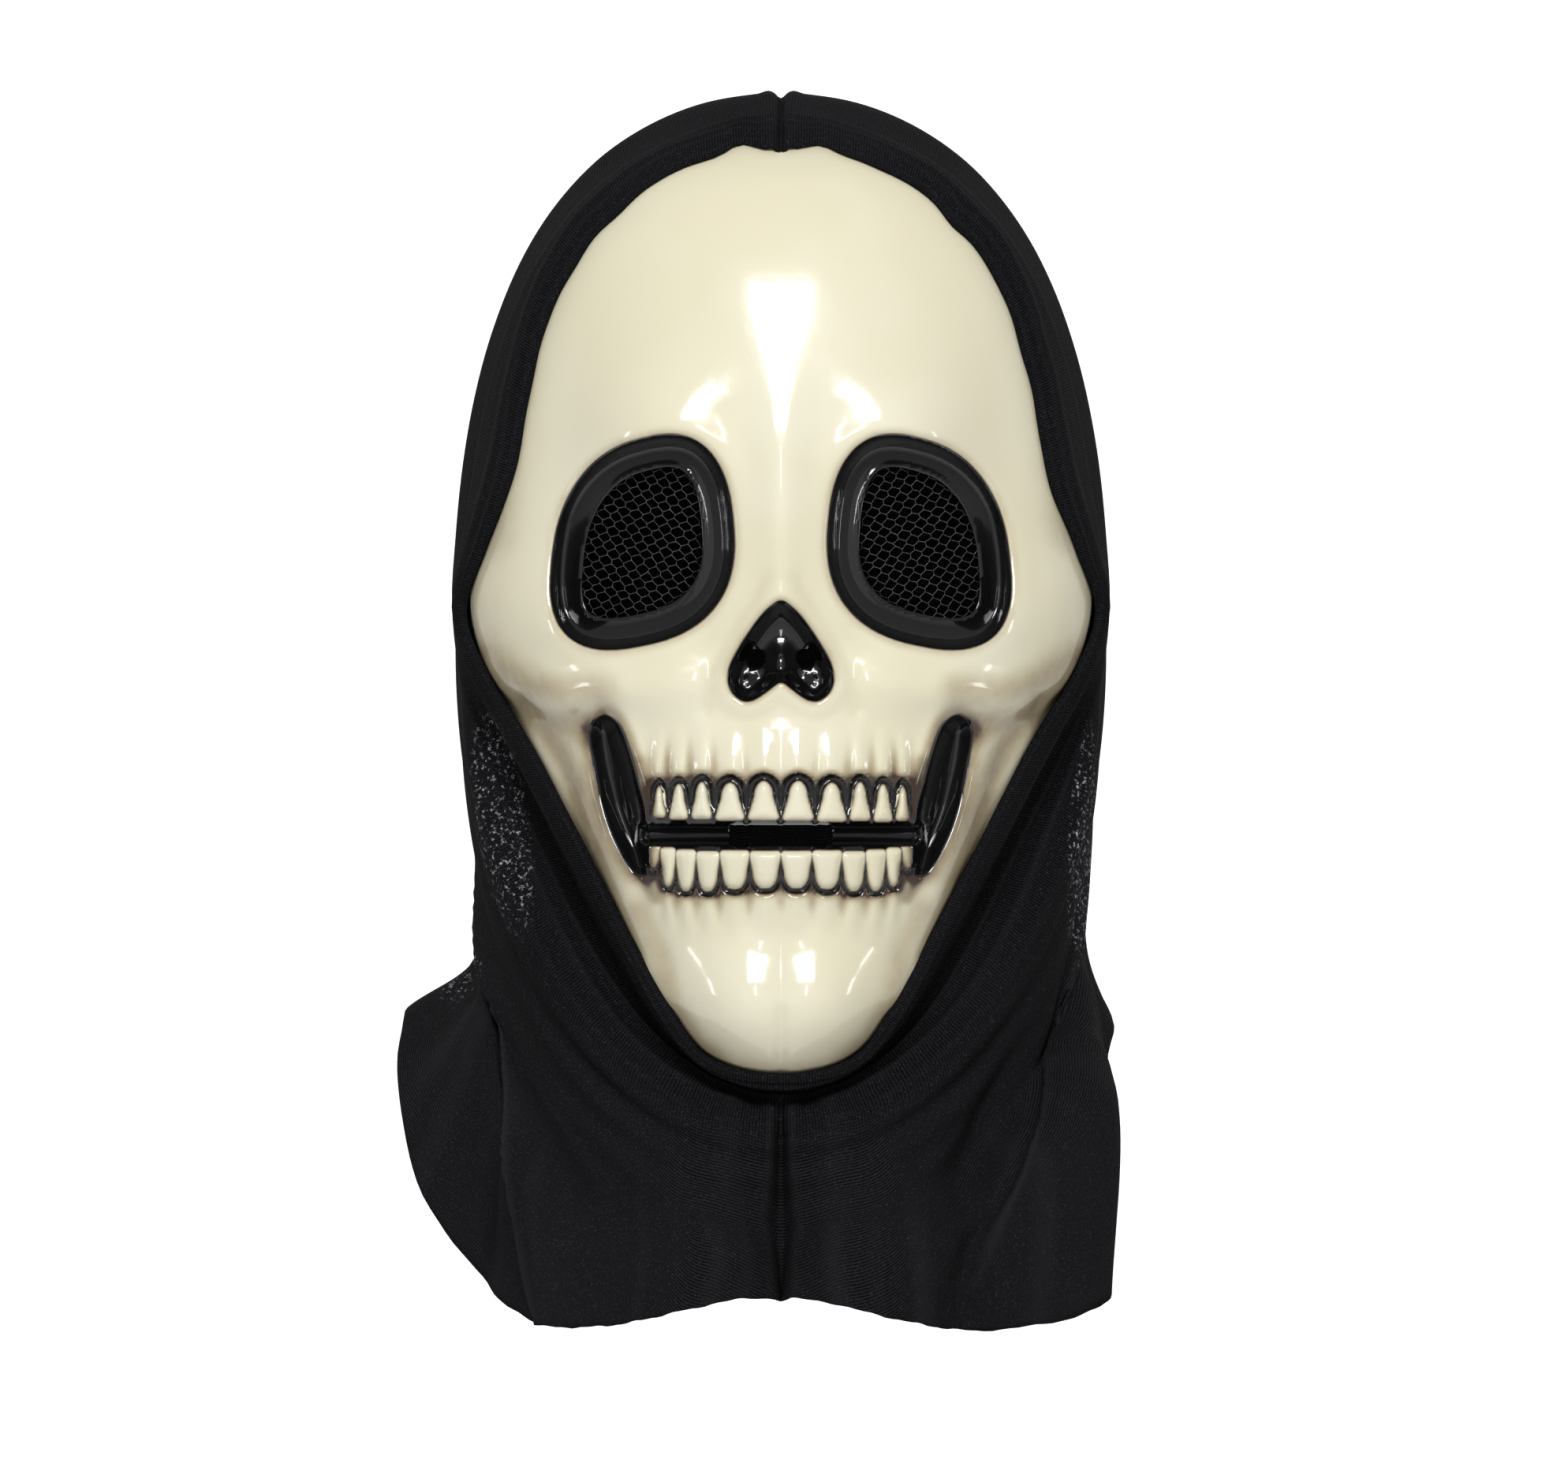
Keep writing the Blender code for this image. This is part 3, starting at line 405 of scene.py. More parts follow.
def toothLoop(across, width, edge, root, inset, taper, corner, peak=1.0):
    # outline of a crown, or of the arch round it, from its biting edge to its root
    way = 1 if root > edge else -1
    turn = np.linspace(0, np.pi, 15)
    rise = min(mouth["archRise"], 0.55 * abs(root - edge)) * way
    half = width / 2 - inset
    arch = np.stack([across + half * (1 - taper) * np.sign(np.cos(turn)) * np.abs(np.cos(turn)) ** peak,
                     root - rise + rise * np.sin(turn)], 1)
    foot = np.array([(-half, edge + way * corner), (-half + corner * 0.35, edge + way * corner * 0.3),
                     (-half + corner, edge), (half - corner, edge),
                     (half - corner * 0.35, edge + way * corner * 0.3), (half, edge + way * corner)])
    return np.concatenate([arch, foot + (across, 0)])


def teethRows():
    for name, way in (("upper", 1), ("lower", -1)):
        bounds, roots = mouth[name + "Bounds"], mouth[name + "RootDown"]
        edge = -mouth["gapDown"] + way * mouth["gapHeight"] / 2
        for i, root in enumerate(roots):
            for side in (1, -1):
                middle, width = side * (bounds[i] + bounds[i + 1]) / 2, bounds[i + 1] - bounds[i]
                bite = edge - mouth[name + "EdgeDrop"][i] + (mouth["tilt"] * middle if way > 0 else 0)
                yield name, (i + (side < 0)) % 2, middle, width, bite, -root, way


# brown marks, partly the mask's own airbrushed brown and partly painted shade in the hollows, under the
# cheekbones and along the hood's edge: places (x, z) in mm on the viewer's right and mirrored, width in mm,
# strength
airbrushAndShade = {
    "underCheek": (((86, -161), (79, -173), (70, -178), (58, -180)), 5.5, 0.42),
    "cheekUnderside": (((84, -161), (74, -167), (62, -170), (50, -169)), 6.0, 0.32),
    "hoodEdge": (((90, -154), (86, -166), (80, -174), (74, -181)), 3.0, 0.20),
    "jawRear": (((74, -172), (68, -179), (63, -187), (58.5, -198), (55, -210), (49, -228), (42, -246)),
                3.8, 0.46),
    "slotTip": (((41, -216), (38, -224), (36, -229)), 2.0, 0.42),
    "slotInside": (((40, -190), (38, -200), (38, -214)), 2.0, 0.26),
    "chinBase": (((0, -280), (14, -278), (25, -270), (32, -258)), 4.6, 0.34),
    "chinSide": (((41, -232), (34, -244), (31, -258)), 4.4, 0.30),
    "noseCrease": (((5, -140), (13, -152), (20, -166), (21, -176)), 2.4, 0.14),
    "mouthCorner": (((38.5, -200), (39.5, -212), (38.5, -220)), 1.8, 0.36),
    "templeShade": (((76, -80), (80, -105), (82, -125)), 6.0, 0.16),
}


# brown round the moulded outlines, partly the mask's own airbrushed brown and partly painted shade, and
# painted shade darkening the face towards its rim: strength and width in metres, for the rim a strength only
sprayAndShade = {
    "rim": 0.15, "socket": (0.30, 0.0022), "nose": (0.36, 0.0016), "slot": (0.62, 0.0026),
    "archNear": (0.55, 0.0011), "archFar": (0.16, 0.0034), "crown": (0.34, 0.00055),
}


def sprayedAndShaded(apart, name):
    strength, width = sprayAndShade[name]
    return strength * np.exp(-(apart / width) ** 2)


def faceFields(x, z):
    # where each place of the front lies along Y, and its distances to the painted outlines
    socketAt, slotAt = pairDistance(x, z, socketLoop), pairDistance(x, z, sideSlotLoop)
    noseAt = loopDistance(x, z, noseLoop())
    gapAt = loopDistance(x, z, barLoop(*mouth["gapBar"]))
    crowns, arches = [np.full(x.shape, outlineReach)] * 2, [np.full(x.shape, outlineReach)] * 2
    roots, valleys = np.zeros(x.shape), np.zeros(x.shape)
    for name, turn, middle, width, edge, root, way in teethRows():
        archPeak, crownPeak, rootGap, inset, taper, rootLength = mouth[name + "Crown"]
        arch = toothLoop(middle, width + mouth["archRoom"], -mouth["gapDown"], root, 0, 0,
                         mouth["archCorner"], archPeak)
        crown = toothLoop(middle, width, edge, root - way * rootGap, inset, taper,
                          mouth["crownCorner"], crownPeak)
        arches[turn] = np.minimum(arches[turn], loopDistance(x, z, arch))
        crowns[turn] = np.minimum(crowns[turn], loopDistance(x, z, crown))
        beyond = (z - root) * way
        grow = easeStep(beyond, -0.004, 0.001) * (1 - easeStep(beyond, 0.002, rootLength))
        roots += grow * np.exp(-((x - middle) / (0.36 * width)) ** 2)
    for name, way in (("upper", 1), ("lower", -1)):
        for i, bound in enumerate(mouth[name + "Bounds"]):
            start = -mouth[name + "RootDown"][min(i, len(mouth[name + "RootDown"]) - 1)]
            beyond = (z - start) * way
            fade = 1 - easeStep(beyond, -0.002, 0.020 if way > 0 else 0.013)
            fade = easeStep(beyond, -0.006, -0.002) * fade ** 1.5
            valleys += mouth[name + "Valley"][i] * fade * np.exp(-((np.abs(x) - bound) / 0.0015) ** 2)
    crownAt, archAt = np.minimum(*crowns), np.minimum(*arches)
    fields = {"crownA": crowns[0], "crownB": crowns[1], "archA": arches[0], "archB": arches[1],
              "recess": np.minimum(np.minimum(socketAt, noseAt), np.minimum(slotAt, gapAt))}

    y, plain = faceY(x, z), plainY(x, z)
    # rolled lips round the sockets, the nose and the side slots
    for apart, shape in ((socketAt, sockets), (noseAt, nose), (slotAt, sideSlots)):
        rise, middle, width = shape["lip"]
        y = y - rise * np.exp(-((apart - middle) / width) ** 2) * (apart > -0.002)
    for points, width, rise in ridges.values():
        apart = pathDistance(np.abs(x), z, np.array(points) / 1000)
        y = y - rise / 1000 * np.exp(-(apart / (width / 1000)) ** 2)
    y = y - mouth["rootRise"] * roots * easeStep(archAt, -0.0004, 0.0012)
    # teeth in their arches
    inArch = easeStep(-archAt, -0.0004, 0.0012)
    y = y + mouth["archSink"] * inArch
    dome = np.sqrt(np.clip(1 - (1 - np.clip(-crownAt / mouth["crownDome"], 0, 1)) ** 2, 0, 1))
    y = y - (mouth["crownStand"] + mouth["archSink"]) * dome
    # recesses: sockets with a channel and a low lip at the eye hole
    t = -socketAt
    wall = easeStep(t, -0.0006, sockets["wallLean"] + 0.0004)
    across = np.clip((t - sockets["wallLean"]) / sockets["ledge"], 0, 1)
    channel = plain + sockets["depth"] + sockets["channelDepth"] * np.sin(across * np.pi)
    y = y * (1 - wall) + channel * wall
    wall = easeStep(-noseAt, -0.0004, nose["taper"])
    floor = plain + nose["depth"]
    for middle, down, wide, tall, rise in nose["knots"]:
        floor = floor - rise * np.exp(-((np.abs(x) - middle) / wide) ** 2 - ((z + down) / tall) ** 2)
    y = y * (1 - wall) + floor * wall
    wall = easeStep(-slotAt, -0.0004, sideSlots["taper"])
    y = y * (1 - wall) + (plain + sideSlots["depth"]) * wall
    wall = easeStep(-gapAt, -0.0003, 0.0020)
    y = y * (1 - wall) + (plain + mouth["gapDepth"]) * wall

    # painted shade: darker towards the face's rim; the brown in the valleys between the roots, round the
    # outlines and in the marks is partly the mask's own airbrushed brown and partly painted shade
    shade = sprayAndShade["rim"] * easeStep(shareAcross(x, z), 0.66, 1.0) + valleys
    for apart, name in ((socketAt, "socket"), (noseAt, "nose"), (slotAt, "slot")):
        shade += sprayedAndShaded(apart, name)
    shade += (sprayedAndShaded(archAt, "archNear") + sprayedAndShaded(archAt, "archFar")) * (archAt > 0)
    shade += sprayedAndShaded(np.minimum(crownAt, 0), "crown") * (archAt <= 0)
    marks = np.zeros(x.shape)
    for points, width, strength in airbrushAndShade.values():
        path = np.array(points) / 1000
        apart = pathDistance(np.abs(x), z, path)
        marks = np.maximum(marks, strength * np.exp(-(apart / (width / 1000)) ** 2))
    fields["shade"] = shade + marks
    return y, fields


def newPiece(name, bm, material):
    mesh = bpy.data.meshes.new(name)
    bm.to_mesh(mesh)
    bm.free()
    mesh.materials.append(material)
    mesh.polygons.foreach_set("use_smooth", np.ones(len(mesh.polygons), bool))
    obj = bpy.data.objects.new(name, mesh)
    bpy.context.scene.collection.objects.link(obj)
    return obj


def gridPlaces(bm, columns, rows):
    # which column and row each vertex of a created grid is on
    co = np.array([v.co[:2] for v in bm.verts])
    return (np.rint((co[:, 0] + 1) / 2 * columns).astype(int),
            np.rint((co[:, 1] + 1) / 2 * rows).astype(int))


def meshLayer(mesh, name, values):
    layer = mesh.attributes.new(name, "FLOAT", "POINT")
    layer.data.foreach_set("value", np.asarray(values, np.float32))


def fixOrder(mesh):
    # an extrusion lists its side faces in no fixed order, so the mesh is made again with them in one
    points = [v.co.copy() for v in mesh.vertices]
    turns = []
    for polygon in mesh.polygons:
        turn = list(polygon.vertices)
        low = turn.index(min(turn))
        turns.append(turn[low:] + turn[:low])
    mesh.clear_geometry()
    mesh.from_pydata(points, [], sorted(turns))
    mesh.polygons.foreach_set("use_smooth", np.ones(len(mesh.polygons), bool))


def readLayer(mesh, name):
    out = np.zeros(len(mesh.vertices), np.int32)
    mesh.attributes[name].data.foreach_get("value", out)
    return out


def buildFace(material):
    # columns across as shares of the rim, rows down as angles, both closer where the features are
    dense = face["denseHalfWidth"] / face["halfWidth"]
    sides = int(round((1 - dense) * face["halfWidth"] / face["wideCell"]))
    middle = int(round(2 * dense * face["halfWidth"] / face["denseCell"]))
    across = np.concatenate([np.linspace(-1, -dense, sides + 1)[:-1], np.linspace(-dense, dense, middle + 1),
                             np.linspace(dense, 1, sides + 1)[1:]])
    first, last = face["denseHeights"]
    span = int(round((first - last) / face["denseCell"]))
    heights = np.linspace(first, last, span + 1)
    angle = np.concatenate([np.linspace(0, faceAngle(np.array(first)), 56)[:-1], faceAngle(heights),
                            np.linspace(faceAngle(np.array(last)), 180, 40)[1:]])[::-1]
    bm = bmesh.new()
    bmesh.ops.create_grid(bm, x_segments=len(across) - 1, y_segments=len(angle) - 1, size=1.0)
    i, j = gridPlaces(bm, len(across) - 1, len(angle) - 1)
    x = across[i] * faceOutline("rim", angle[j]) * face["halfWidth"]
    z = -face["belowCrown"] - face["height"] * (1 - np.cos(np.radians(angle[j]))) / 2
    place, back = bm.verts.layers.int.new("place"), bm.verts.layers.int.new("back")
    hole = faceHoles(x, z)
    for n, v in enumerate(bm.verts):
        v[place] = n
        v.co = (x[n], 0, z[n])
    inside = [f for f in bm.faces if sum(hole[v[place]] for v in f.verts) < 0]
    bmesh.ops.delete(bm, geom=inside, context="FACES")
    edge = [v[place] for v in bm.verts if v.is_boundary and hole[v[place]] < 0.002]
    for _ in range(3):   # draw the cut edges onto the true outlines of the holes
        ex, ez, h = x[edge], z[edge], 0.0002
        at = faceHoles(ex, ez)
        gx = (faceHoles(ex + h, ez) - faceHoles(ex - h, ez)) / (2 * h)
        gz = (faceHoles(ex, ez + h) - faceHoles(ex, ez - h)) / (2 * h)
        size = np.maximum(gx ** 2 + gz ** 2, 0.2)
        x[edge], z[edge] = ex - at * gx / size, ez - at * gz / size
    y, fields = faceFields(x, z)
    for v in bm.verts:
        v.co = (x[v[place]], y[v[place]], z[v[place]])
    bmesh.ops.remove_doubles(bm, verts=bm.verts, dist=1e-6)
    geometry = bm.verts[:] + bm.edges[:] + bm.faces[:]
    made = bmesh.ops.extrude_face_region(bm, geom=geometry, use_keep_orig=True)
    # the walls of the recesses are thickened straight back
    straight = easeStep(-fields["recess"], -0.004, 0.0)[:, None]
    normal = faceNormal(x, z) * (1 - straight) + np.array([0, -1, 0]) * straight
    normal /= np.linalg.norm(normal, axis=1, keepdims=True)
    wall = face["wall"] - face["recessThinner"] * easeStep(-fields["recess"], 0, 0.002)
    for v in made["geom"]:
        if isinstance(v, bmesh.types.BMVert):
            v[back] = 1
            n = v[place]
            v.co = Vector((x[n], y[n], z[n])) - Vector(normal[n]) * wall[n]
    bmesh.ops.recalc_face_normals(bm, faces=bm.faces)
    obj = newPiece("moulded_face", bm, material)
    mesh = obj.data
    at, behind = readLayer(mesh, "place"), readLayer(mesh, "back")
    fixOrder(mesh)
    for name, values in fields.items():
        scale = 1 if name == "shade" else 1000   # distances go to the material in mm
        meshLayer(mesh, name, values[at] * scale)
    meshLayer(mesh, "behind", behind)
    return obj


def faceHoles(x, z):
    eyeHole = pairDistance(x, z, socketLoop) + sockets["wallLean"] + sockets["ledge"]
    slotHole = loopDistance(x, z, barLoop(*mouth["slotBar"]))
    nostril = np.hypot(np.abs(x) - nose["nostrilAcross"], z + nose["nostrilDown"]) - nose["nostrilRadius"]
    return np.minimum(np.minimum(eyeHole, slotHole), nostril)


def plasticMaterial():
    g = Graph("moulded_plastic")
    place = g.place()
    crown = g.layer("crownA").least(g.layer("crownB"))
    arch = g.layer("archA").least(g.layer("archB"))
    grain = g.noise(place, 900.0, 2.0) - 0.5
    bristle = g.noise(place, 260.0, 3.0) - 0.5
    outline = g.layer("recess").least(arch.most(crown * -1)) + grain * 0.10 + bristle * 0.16
    front = 1 - g.layer("behind")
    black = (1 - outline.ramp(-0.10, 0.12)) * front
    blot = g.noise(place, 120.0, 4.0, 0.6)
    # the shade layer turns the cream brown: partly the mask's own airbrushed brown, partly painted shade
    shade = g.layer("shade") * (0.62 + blot * 0.76) * front
    haze = g.noise(place, 18.0, 2.0)
    cream = g.mix(haze.ramp(0.35, 0.70), (0.815, 0.762, 0.560), (0.860, 0.825, 0.640))
    warm = g.mix(shade.ramp(0.02, 0.50), cream, (0.500, 0.420, 0.270))
    brown = g.mix(shade.ramp(0.36, 1.00), warm, (0.050, 0.026, 0.015))
    rub = (1 - outline.ramp(0.0, 0.55)) * front
    edged = g.mix(rub * 0.85, brown, (0.035, 0.014, 0.007))
    paint = g.mix(black, edged, (0.0045, 0.0042, 0.0045))
    scuff = g.noise(place, 45.0, 4.0, 0.65)
    g.set(Base_Color=paint, Roughness=0.13 + scuff.ramp(0.45, 0.8) * 0.07 - black * 0.05,
          Coat_Weight=0.45, Coat_Roughness=0.05, IOR=1.5)
    peel = g.noise(place, 420.0, 2.0)
    g.set(Normal=g.bump(peel, 0.00006, 0.5))
    return g.material


# the eye nets

net = {
    "cellWide": 0.0036, "cellTall": 0.0021, "stagger": 0.55, "strand": 0.00021, "reach": 0.036,
    "behind": 0.0105, "lap": 0.0016, "slant": 14, "wander": 0.00012,
}


def buildNet(name, side, material):
    hole = socketLoop(side)
    middle, size = hole.mean(0), 2 * net["reach"]
    columns, rows = int(size / (net["cellWide"] / 2)), int(size / net["cellTall"])
    bm = bmesh.new()
    bmesh.ops.create_grid(bm, x_segments=columns, y_segments=rows, size=1.0)
    i, j = gridPlaces(bm, columns, rows)
    bm.verts.index_update()
    odd = (i + j) % 2
    alternate = []   # every second upright edge, whose removal leaves six-sided cells
    for e in bm.edges:
        low, high = sorted((v.index for v in e.verts), key=lambda n: j[n])
        if i[low] == i[high] and odd[low] == 0:
            alternate.append(e)
    u = (i - columns / 2) * net["cellWide"] / 2
    w = (j - rows / 2) * net["cellTall"] + (odd - 0.5) * net["cellTall"] * net["stagger"]
    rng = np.random.default_rng(7 + side)
    u = u + rng.normal(0, net["wander"], len(u))
    w = w + rng.normal(0, net["wander"], len(w))
    lean = math.radians(net["slant"] * side)
    x = middle[0] + u * math.cos(lean) - w * math.sin(lean)
    z = middle[1] + u * math.sin(lean) + w * math.cos(lean)
    y = plainY(x, z) + net["behind"]
    for n, v in enumerate(bm.verts):
        v.co = (x[n], y[n], z[n])
    bmesh.ops.dissolve_edges(bm, edges=alternate, use_verts=False)
    edge = net["lap"] - sockets["wallLean"] - sockets["ledge"]
    outside = []
    for f in bm.faces:
        cx, cz = np.array([v.co.xz for v in f.verts]).T
        if max(loopDistance(cx, cz, hole)) > edge:
            outside.append(f)
    bmesh.ops.delete(bm, geom=outside, context="FACES")
    obj = newPiece(name, bm, material)
    wires = obj.modifiers.new("strands", "WIREFRAME")
    wires.thickness = net["strand"]
    wires.use_even_offset = False
    return obj


def netMaterial():
    g = Graph("net_strand")
    # dark grey strands with lighter grey painted highlights scattered by noise, which also varies the
    # roughness and the bump
    twistAndGlint = g.noise(g.place(), 1800.0, 2.0)
    g.set(Base_Color=g.mix(twistAndGlint.ramp(0.3, 0.7), (0.035, 0.033, 0.034), (0.16, 0.155, 0.15)),
          Roughness=0.30 + twistAndGlint * 0.2)
    g.set(Normal=g.bump(twistAndGlint, 0.0001, 0.6))
    return g.material


# the hood

hood = {
    "halfWidth": 0.0935, "height": 0.3517, "back": 0.1050, "front": 0.1040,
    "stand": 0.0025, "ease": 0.0006, "cloth": 0.0009, "foldDepth": 0.0060, "bandEnd": 0.14,
    "dark": (0.0020, 0.0020, 0.0024), "light": (0.0180, 0.0176, 0.0194), "fleck": (0.055, 0.053, 0.060),
    # the lighter tone below serves random fading and the painted highlight on fold crests, which grows with
    # how sharply a crest bends
    "fadedAndHighlit": (0.022, 0.0215, 0.024), "crestHighlightBend": 420,
    # ridges along the turned hem: place as a share of the band, height, phase
    "bandRidges": ((0.26, 0.0007, 0.3), (0.52, 0.0011, 1.7), (0.80, 0.0009, 2.9)),
    # rolls that follow the jaw: along, width, rise
    "jawRolls": ((0.172, 0.011, 0.0016), (0.212, 0.013, 0.0015), (0.262, 0.017, 0.0012)),
    # depth in metres and width in degrees
    "crownSeam": (0.0015, 0.55), "chinCrease": (0.0070, 1.0),
    # side of the head, way of the front layer, height, and (along, angle) of its edge
    "steps": ((-1, 1, 0.0048, ((0.56, 101), (0.68, 110), (0.84, 130), (1.00, 134))),
              (1, -1, 0.0034, ((0.56, 108), (0.68, 120), (0.84, 146), (0.94, 151)))),
    # arches and kinks of the bare edge: angle, width in degrees, share of the band
    "hemKinks": ((-6.8, 2.6, 0.24), (6.8, 2.6, 0.20), (0, 3.4, -0.06), (32, 3.6, -0.20),
                 (-29, 4.5, -0.13), (48, 6.0, 0.08), (-52, 7.0, 0.07)),
    # patches of sheer cloth, where light sparkling through is painted: x, z, half width, half height in mm,
    # lean in degrees
    "sheer": ((-80, -208, 8.5, 36, 9), (87, -214, 5.0, 38, -3), (-94, -252, 10, 8, 50)),
    "sheerDepth": (-0.022, 0.030),
    # along, back y, back down, side x, side y, side down, front y, front down, squareness behind, before
    "rings": ((0.27, -0.12, -0.0052, 1.000, -0.06, 0.420, -0.900, 0.838, 0.88, 1.00),
              (0.40, 0.52, 0.035, 0.995, 0.08, 0.450, -0.905, 0.862, 0.88, 0.98),
              (0.54, 0.90, 0.190, 0.975, 0.17, 0.500, -0.920, 0.886, 0.92, 0.92),
              (0.68, 0.93, 0.420, 0.940, 0.22, 0.570, -0.945, 0.910, 0.94, 0.84)),
    "shoulderAlong": 0.84,
    # angle, across, back, down
    "shoulder": ((-180, 0.000, -0.975, 0.938), (-150, -0.520, -0.950, 0.925), (-130, -0.830, -0.760, 0.860),
                 (-110, -0.930, -0.350, 0.765), (-90, -0.920, 0.120, 0.690), (-45, -0.720, 0.740, 0.695),
                 (0, 0.000, 0.930, 0.700), (45, 0.720, 0.740, 0.695), (90, 0.930, 0.140, 0.690),
                 (110, 0.960, -0.300, 0.735), (130, 0.960, -0.700, 0.820), (150, 0.600, -0.950, 0.915),
                 (180, 0.000, -0.975, 0.938)),
    "hem": ((-180, 0.000, -1.000, 0.969), (-165, -0.300, -0.990, 0.985), (-148, -0.550, -0.970, 0.998),
            (-133, -0.745, -0.900, 0.995), (-122, -0.940, -0.720, 0.960), (-112, -1.100, -0.500, 0.890),
            (-103, -1.180, -0.300, 0.800), (-92, -1.150, -0.020, 0.745), (-70, -1.050, 0.450, 0.800),
            (-45, -0.820, 0.800, 0.900), (0, 0.000, 1.000, 0.985), (45, 0.800, 0.800, 0.900),
            (70, 0.980, 0.450, 0.800), (92, 1.020, -0.020, 0.750), (108, 1.010, -0.400, 0.830),
            (122, 0.985, -0.720, 0.950), (133, 0.935, -0.900, 0.986), (148, 0.620, -0.970, 1.000),
            (165, 0.330, -0.990, 0.990), (180, 0.000, -1.000, 0.969)),
    # angle, drift, spread, start, full, depth
    "folds": ((180, 0, 5, 0.20, 0.60, -1.00), (166, 0, 9, 0.34, 0.80, 0.70),
              (-165, 0, 9, 0.34, 0.80, 0.75), (134, 16, 6, 0.40, 0.80, -0.90),
              (122, 10, 7, 0.40, 0.85, 0.60), (-124, 2, 6, 0.50, 0.90, -1.00),
              (-135, 2, 7, 0.50, 0.90, 0.55), (-108, 0, 7, 0.60, 0.95, 0.50),
              (62, 0, 10, 0.50, 0.90, 0.80), (-58, 0, 11, 0.50, 0.90, 0.70),
              (34, 0, 9, 0.55, 0.95, -0.80), (-30, 0, 9, 0.55, 0.95, -0.75), (0, 0, 8, 0.55, 0.95, 0.60)),
}


def hemShift(angle):
    # the hem's bare edge arches up beside the seam and hangs a little lower at two kinks
    total = 0.010 * np.sin(np.radians(angle) * 37) + 0.012 * np.sin(np.radians(angle) * 13)
    for place, width, share in hood["hemKinks"]:
        total = total + share * np.exp(-((angle - place) / width) ** 2)
    return total


def bandPoint(angle, across):
    # cloth over the rim of the face: 0 at the bare edge of the hem, 1 over the rim
    side, turn = np.sign(angle), np.abs(angle)
    drop = (1 - np.cos(np.radians(turn))) / 2
    bareX = faceOutline("bare", turn) * face["bareHalfWidth"]
    rimX = faceOutline("rim", turn) * face["halfWidth"]
    bareZ = -face["bareBelowCrown"] - face["bareHeight"] * drop
    rimZ = -face["belowCrown"] - face["height"] * drop
    across = across + hemShift(angle) * (1 - across)
    x, z = bareX + (rimX - bareX) * across, bareZ + (rimZ - bareZ) * across
    stand = hood["stand"] + hood["ease"] * across * np.sin(np.radians(turn))
    point = np.stack([x, faceY(x, z), z], -1) + faceNormal(x, z) * stand[..., None]
    return point * np.stack([side, np.ones_like(x), np.ones_like(x)], -1)


def ringPoint(angle, row):
    _, backY, backDown, sideX, sideY, sideDown, frontY, frontDown, squareBack, squareFront = row
    turn, side, behind = np.radians(np.abs(angle)), np.sign(angle), np.abs(angle) < 90
    square = np.where(behind, squareBack, squareFront)
    aside, ahead = np.abs(np.sin(turn)) ** square, np.abs(np.cos(turn)) ** square

    def reach(share):
        return share * (hood["back"] if share > 0 else hood["front"])

    endY = np.where(behind, reach(backY), reach(frontY))
    endZ = -hood["height"] * np.where(behind, backDown, frontDown)
    y = reach(sideY) + (endY - reach(sideY)) * ahead
    z = -sideDown * hood["height"] + (endZ + sideDown * hood["height"]) * ahead
    return np.stack([side * aside * sideX * hood["halfWidth"], y, z], -1)


def drapePoint(angle, rows):
    rows = np.array(rows)
    across, back, down = (curveThrough(rows[:, 0], rows[:, n], angle) for n in (1, 2, 3))
    y = back * np.where(back > 0, hood["back"], hood["front"])
    return np.stack([across * hood["halfWidth"], y, -down * hood["height"]], -1)


def foldHeight(angle, along):
    total = np.zeros_like(angle)
    for at, drift, width, start, full, depth in hood["folds"]:
        grown = easeStep(along, start, full)
        apart = (angle - at - drift * grown + 180) % 360 - 180
        total += depth * grown * np.exp(-((apart / width) ** 2))
    return hood["foldDepth"] * total


def hoodAngles():
    # columns lie closest at the crown seam and in front
    half = np.concatenate([np.linspace(0, 3, 11)[:-1], np.linspace(3, 100, 60)[:-1],
                           np.linspace(100, 172, 69)[:-1], np.linspace(172, 180, 19)])
    return np.concatenate([-half[::-1], half[1:]])


def hoodPlaces():
    end = hood["bandEnd"]
    return np.concatenate([np.linspace(0, end, 45)[:-1], np.linspace(end, 0.34, 41)[:-1],
                           np.linspace(0.34, 1, 67)])


def hoodSurface():
    angle, places, end = hoodAngles(), hoodPlaces(), hood["bandEnd"]
    keys = [0.0, end / 2, end] + [row[0] for row in hood["rings"]] + [hood["shoulderAlong"], 1.0]
    rings = [bandPoint(angle, share) for share in (0.0, 0.5, 1.0)]
    rings += [ringPoint(angle, row) for row in hood["rings"]]
    rings += [drapePoint(angle, hood["shoulder"]), drapePoint(angle, hood["hem"])]
    surface = np.array([curveThrough(keys, rings, at) for at in places])
    roundWay = np.gradient(surface, axis=1)
    roundWay[:, 0] = roundWay[:, -1] = surface[:, 1] - surface[:, -2]
    normal = np.cross(roundWay, np.gradient(surface, axis=0))
    normal /= np.maximum(np.linalg.norm(normal, axis=2, keepdims=True), 1e-9)
    lift = np.array([foldHeight(angle, at) + bandRipple(angle, at) + layerSteps(angle, at)
                     + smallFolds(angle, at) for at in places])
    surface += normal * lift[..., None]
    down, around = places * hood["height"], np.radians(angle) * hood["halfWidth"]
    bend = np.gradient(np.gradient(lift, down, axis=0), down, axis=0)
    bend += np.gradient(np.gradient(lift, around, axis=1), around, axis=1)
    ragged = 0.0002 * np.sin(np.radians(angle) * 41) + 0.00012 * np.sin(np.radians(angle) * 97 + 1)
    surface[-1, :, 2] += ragged * (np.abs(angle) < 179)
    surface[:, 0, 0] = surface[:, -1, 0] = 0
    surface[:, -1] = surface[:, 0]
    # painted highlight along the crests of folds, strongest where the cloth bends most sharply outwards,
    # weak at the crown seam and the middle of the front
    plain = 1 - 0.85 * (np.exp(-(angle / 5) ** 2) + np.exp(-((180 - np.abs(angle)) / 6) ** 2))
    return surface, angle, places, np.clip(-bend / hood["crestHighlightBend"], 0, 1) * plain


